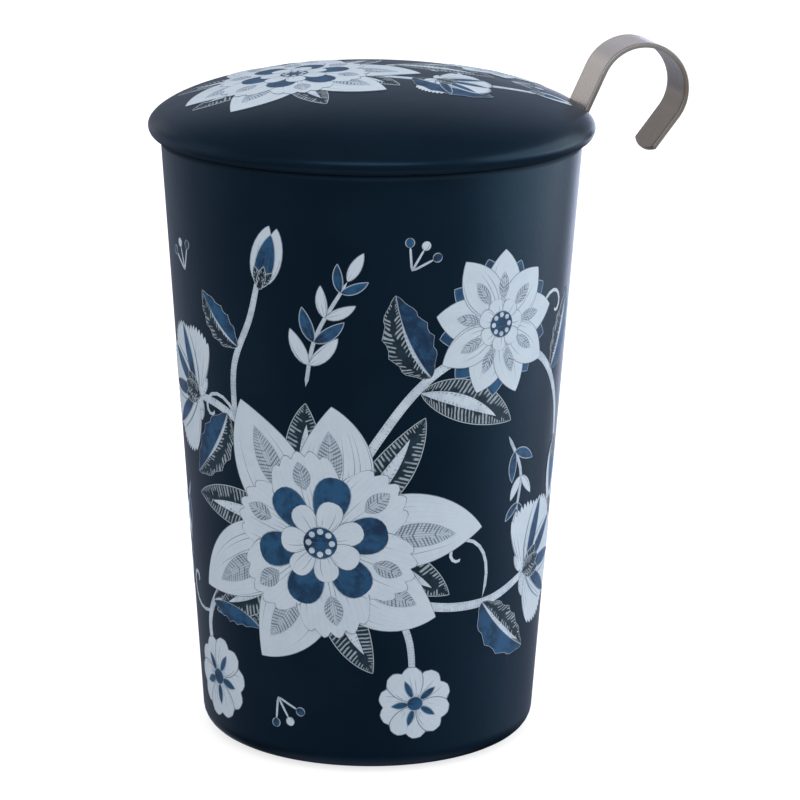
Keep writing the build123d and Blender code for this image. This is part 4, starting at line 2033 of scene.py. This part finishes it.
@dataclass
class Handle:
    """The strip that lifts the infuser, and its welds."""

    cells_wide: int = 12

    def route(self) -> list[Run]:
        """Work out the strip's centre line, from the basket to the leg.

        Returns:
            The length of each run in millimetres and its turn in degrees.
        """
        s = STRIP
        taper = math.radians(BASKET.taper_deg)
        offset = s.thick / 2 / math.cos(taper)
        rise_x = BASKET.radius(s.run_z) + offset
        inner_turn, outer_turn = 90 - BASKET.taper_deg, 90 - s.lean_deg
        inner_trim = s.bend_r * math.tan(math.radians(inner_turn / 2))
        outer_trim = s.bend_r * math.tan(math.radians(outer_turn / 2))
        crook_z = s.crest_z - s.crook_r * (1 - math.cos(math.radians(outer_turn)))
        lean = (crook_z - s.run_z) / math.sin(math.radians(outer_turn))
        return [
            ((s.run_z - s.foot_z) / math.cos(taper) - inner_trim, 0.0),
            (s.bend_r * math.radians(inner_turn), -inner_turn),
            (s.bend_x - rise_x - inner_trim - outer_trim, 0.0),
            (s.bend_r * math.radians(outer_turn), outer_turn),
            (lean - outer_trim, 0.0),
            (s.crook_r * math.radians(outer_turn + 90 + s.leg_deg), -(outer_turn + 90 + s.leg_deg)),
            (s.leg, 0.0),
        ]

    def strip(self) -> bpy.types.Object:
        """Bend a flat blank along the route and give it its thickness and rounded edges.

        Returns:
            The strip, with its inner face and its sheared edges marked on the mesh.
        """
        s = STRIP
        route = self.route()
        length = sum(run for run, _ in route)
        bpy.ops.mesh.primitive_grid_add(
            x_subdivisions=int(length / s.cell), y_subdivisions=self.cells_wide, size=2.0, calc_uvs=True
        )
        strip = Bench.added("steel_strip")
        taper = math.radians(BASKET.taper_deg)
        start = Vector((BASKET.radius(s.foot_z) + s.thick / 2 / math.cos(taper), s.foot_z))
        for vertex in strip.data.vertices:
            across = vertex.co.y
            low = s.foot_sag * across * across
            high = length + s.tip_sag * (1 - across * across)
            along = low + (high - low) * (vertex.co.x + 1) / 2
            spot = self.point(route, start, math.radians(90 - BASKET.taper_deg), along)
            vertex.co = Vector((spot.x, across * s.width / 2, spot.y)) * MM
        strip.vertex_groups.new(name="inside")
        Bench.modify(strip, "SOLIDIFY", thickness=s.thick * MM, offset=0.0,
                     shell_vertex_group="inside")
        Bench.modify(strip, "BEVEL", width=s.edge_round * MM, segments=3, limit_method="ANGLE",
                     angle_limit=math.radians(60))
        inside = [sum(g.weight for g in v.groups) for v in strip.data.vertices]
        verge = s.width / 2 - s.edge_round
        sheared = [(abs(v.co.y) / MM - verge) / s.edge_round for v in strip.data.vertices]
        sheared = [min(1.0, max(0.0, share)) for share in sheared]
        for name, values in (("inner_face", inside), ("sheared_edge", sheared)):
            strip.data.attributes.new(name, "FLOAT", "POINT").data.foreach_set("value", values)
        Bench.smooth(strip, 35)
        return strip

    @staticmethod
    def point(route: Sequence[Run], start: Vector, heading: float, along: float) -> Vector:
        """Find a place on the route, whose last run goes on straight.

        Args:
            route: lengths and turns of its runs.
            start, heading: its first point, and direction in radians.
            along: the place's distance from the start.

        Returns:
            The place, across and up.
        """
        here = start.copy()
        for i, (run, turn) in enumerate(route):
            step = along if i == len(route) - 1 else min(along, run)
            if turn:
                bend = math.radians(turn) * step / run
                radius = run / math.radians(turn)
                side = Vector((-math.sin(heading), math.cos(heading)))
                turned = Vector((-math.sin(heading + bend), math.cos(heading + bend)))
                here += side * radius - turned * radius
                heading += bend
            else:
                here += Vector((math.cos(heading), math.sin(heading))) * step
            along -= step
            if along <= 0:
                break
        return here

    def welds(self) -> bpy.types.Object:
        """Turn one weld button and set a copy at each weld.

        Returns:
            The buttons as one object.
        """
        b = BASKET
        taper = math.radians(b.taper_deg)
        top = STRIP.thick + b.weld_proud
        dome = [(0, 0), (b.weld_r, 0), (b.weld_r, STRIP.thick), (b.weld_r * 0.9, STRIP.thick + 0.14),
                (b.weld_r * 0.6, top - 0.03), (b.weld_r * 0.25, top), (0, top)]
        button = Bench.lathe("weld_button", dome, 32)
        tilt = Matrix.Rotation(math.pi / 2 + taper, 4, "Y")
        heights = [b.top_z - drop for drop in b.weld_drops]
        places = [Matrix.Translation(Vector((b.radius(z), 0, z)) * MM) @ tilt for z in heights]
        return Bench.repeat("weld_buttons", button, places)

    def build(self) -> None:
        """Make the handle's pieces and let them ride on the infuser."""
        settle(self.strip(), "handle_strip", "infuser", STRIP_STEEL)
        settle(self.welds(), "handle_welds", "infuser", WELD_STEEL)


# ------------------------------------------------------------------ studio


@dataclass
class Studio:
    """Floor, world, lamps and camera. Directions are seen from the camera's side."""

    azimuth_deg: float = VIEW_DEG
    elevation_deg: float = 14.6
    distance: float = 0.7307
    aim_right: float = 0.00598
    aim_z: float = 0.06612
    focal_px: float = 3683.8
    frame_px: float = 800.0
    roll_deg: float = 0.55
    sensor: float = 36.0
    wall_light: float = 0.44
    table_light: float = 0.375
    window_light: float = 0.46
    side_light: float = 0.11
    rim_light: float = 2.1
    front_light: float = 1.75
    panel_light: float = 0.35
    under_light: float = 0.22
    low_light: float = 0.32
    sky_light: float = 0.95
    ground_light: float = 0.42
    cool: Colour = (0.84, 0.93, 1.19)
    lamp_tint: Colour = (0.88, 0.95, 1.0)
    floor_size: float = 6.0
    floor_gap: float = 0.0002
    floor_grey: Colour = (0.55, 0.55, 0.56)
    floor_glow: float = 0.72

    def axes(self) -> tuple[Vector, Vector]:
        """Directions on the floor: to the right of the view, and from the mug to the camera."""
        a = math.radians(self.azimuth_deg)
        return Vector((math.cos(a), math.sin(a), 0)), Vector((math.sin(a), -math.cos(a), 0))

    def camera(self) -> None:
        """Set the camera at the fitted place."""
        right, back = self.axes()
        e = math.radians(self.elevation_deg)
        away = back * math.cos(e) + Vector((0, 0, math.sin(e)))
        aim = right * self.aim_right + Vector((0, 0, self.aim_z))
        data = bpy.data.cameras.new("product_camera")
        data.sensor_width = self.sensor
        data.lens = self.focal_px / self.frame_px * self.sensor
        data.clip_start = 0.01
        data.clip_end = 50.0
        obj = bpy.data.objects.new("product_camera", data)
        bpy.context.scene.collection.objects.link(obj)
        obj.location = aim + away * self.distance
        roll = Matrix.Rotation(math.radians(self.roll_deg), 3, "Z")
        obj.rotation_euler = (away.to_track_quat("Z", "Y").to_matrix() @ roll).to_euler()
        bpy.context.scene.camera = obj

    def lamp(self, name: str, side: float, behind: float, up: float, size: tuple[float, float],
             power: float, aim_z: float = 0.07) -> None:
        """Hang a soft box.

        Args:
            name: the lamp's name.
            side, behind, up: its place in metres, to the right, away from the camera and up.
            size: its width and height in metres.
            power: watts.
            aim_z: height of the point on the mug's axis that it faces.
        """
        right, back = self.axes()
        data = bpy.data.lights.new(name, "AREA")
        data.shape = "RECTANGLE"
        data.size, data.size_y = size
        data.energy = power
        data.color = self.lamp_tint
        obj = bpy.data.objects.new(name, data)
        bpy.context.scene.collection.objects.link(obj)
        obj.location = right * side - back * behind + Vector((0, 0, up))
        facing = obj.location - Vector((0, 0, aim_z))
        obj.rotation_euler = facing.to_track_quat("Z", "Y").to_euler()

    def floor(self) -> None:
        """Lay a pale floor that shows white and keeps the mug's shadow."""
        bpy.ops.mesh.primitive_plane_add(size=self.floor_size, location=(0, 0, -self.floor_gap))
        ground = Bench.added("studio_floor")
        material = bpy.data.materials.new("floor_paper")
        material.use_nodes = True
        wiring = Wiring(material.node_tree)
        seen, mirrored, through = wiring.rays()
        paper = wiring.node("ShaderNodeBsdfDiffuse", {}, {"Color": (*self.floor_grey, 1.0)}).outputs[0]
        white = wiring.node("ShaderNodeEmission", {}, {"Strength": self.floor_glow}).outputs[0]
        lit = wiring.node("ShaderNodeAddShader", {}, {0: paper, 1: white}).outputs[0]
        shown = seen.larger(mirrored).larger(through)
        mixed = wiring.node("ShaderNodeMixShader", {}, {0: shown, 1: paper, 2: lit})
        wiring.node("ShaderNodeOutputMaterial", {}, {"Surface": mixed.outputs[0]})
        ground.data.materials.append(material)
        ground.visible_glossy = False

    @staticmethod
    def patch(light: float, *fades: tuple[Signal, float, float]) -> Signal:
        """Light a soft-edged part of the room.

        Args:
            light: its strength in the middle.
            fades: how far a ray goes one way, and where that makes the patch dark and full.

        Returns:
            The strength in the ray's direction.
        """
        shade, dark, full = fades[0]
        strength = shade.ramp(dark, full)
        for shade, dark, full in fades[1:]:
            strength = strength * shade.ramp(dark, full)
        return strength * light

    def world(self) -> None:
        """White for the camera, a soft even light, and a dim room for the gloss.

        The gloss sees a wall and a table behind the mug, a window low on the right, a bright edge
        and a low patch right behind, pale sides, a pale panel behind left, a high strip in front
        and a little light from below.
        """
        world = bpy.data.worlds.new("studio_world")
        bpy.context.scene.world = world
        world.use_nodes = True
        wiring = Wiring(world.node_tree)
        seen, mirrored, through = wiring.rays()
        direction = wiring.signal("ShaderNodeTexCoord", "Generated")
        right, back = self.axes()
        away, side = wiring.along(direction, -back), wiring.along(direction, right)
        up = wiring.axes(direction)[2]
        behind = away.larger(0.0)
        wall = self.patch(self.wall_light, (up, -0.05, 0.25), (up, 0.85, 0.45), (side, 0.95, 0.60))
        wall = wall * (side.ramp(-0.60, -0.10) * 0.30 + 0.70)
        table = self.patch(self.table_light, (up, 0.15, -0.10), (up, -0.60, -0.22))
        edge = self.patch(self.rim_light, (side, 0.0, 0.1), (side, 0.55, 0.40), (up, 0.13, -0.03),
                          (up, -0.34, -0.22))
        low = self.patch(self.low_light, (side, -0.65, -0.40), (side, 0.10, -0.05),
                         (up, -0.38, -0.46), (up, -0.75, -0.60))
        panel = self.patch(1.0, (side, -0.36, -0.48), (side, -0.70, -0.60), (up, -0.14, -0.04),
                           (up, 0.45, 0.25))
        window = self.patch(self.window_light, (side, 0.55, 0.85), (away, -0.40, -0.05),
                            (away, 0.75, 0.40), (up, 0.0, -0.20), (up, -0.42, -0.27))
        front = self.patch(self.front_light, (away, -0.80, -0.94), (up, -0.02, 0.10), (up, 0.58, 0.36))
        sides = self.patch(self.side_light, (side.absolute(), 0.3, 0.9), (up, 0.5, 0.0),
                           (up, -0.65, -0.40))
        under = self.patch(self.under_light, (up, -0.75, -0.95))
        room = behind * (wall + table + edge + low + panel * self.panel_light)
        room = room + window + front + sides + under
        soft = up.ramp(-0.6, 0.9) * (self.sky_light - self.ground_light) + self.ground_light
        shown = seen.larger(through)
        strength = shown + (1.0 - shown) * (mirrored * room + (1.0 - mirrored) * soft)
        tinted = mirrored * (1.0 - shown) * (1.0 - behind * panel)
        tint = wiring.blend(tinted, (1.0, 1.0, 1.0), self.cool)
        light = wiring.node("ShaderNodeBackground", {}, {"Color": tint, "Strength": strength})
        wiring.node("ShaderNodeOutputWorld", {}, {"Surface": light.outputs[0]})

    def build(self) -> None:
        """Set up the whole studio."""
        self.camera()
        self.world()
        self.floor()
        self.lamp("right_soft_box", 0.95, 0.09, 0.24, (1.5, 0.9), 5.4)
        self.lamp("left_soft_box", -1.10, 0.10, 0.30, (0.5, 1.0), 0.35)
        scene = bpy.context.scene
        scene.view_settings.view_transform = "Standard"


def main() -> None:
    """Build the studio, then every piece in order."""
    logging.basicConfig(level=logging.INFO, format="%(message)s")
    Studio().build()
    Mug().build()
    Lid().build()
    Basket().build()
    Handle().build()
    Decoration().build()


if __name__ == "__main__":
    main()
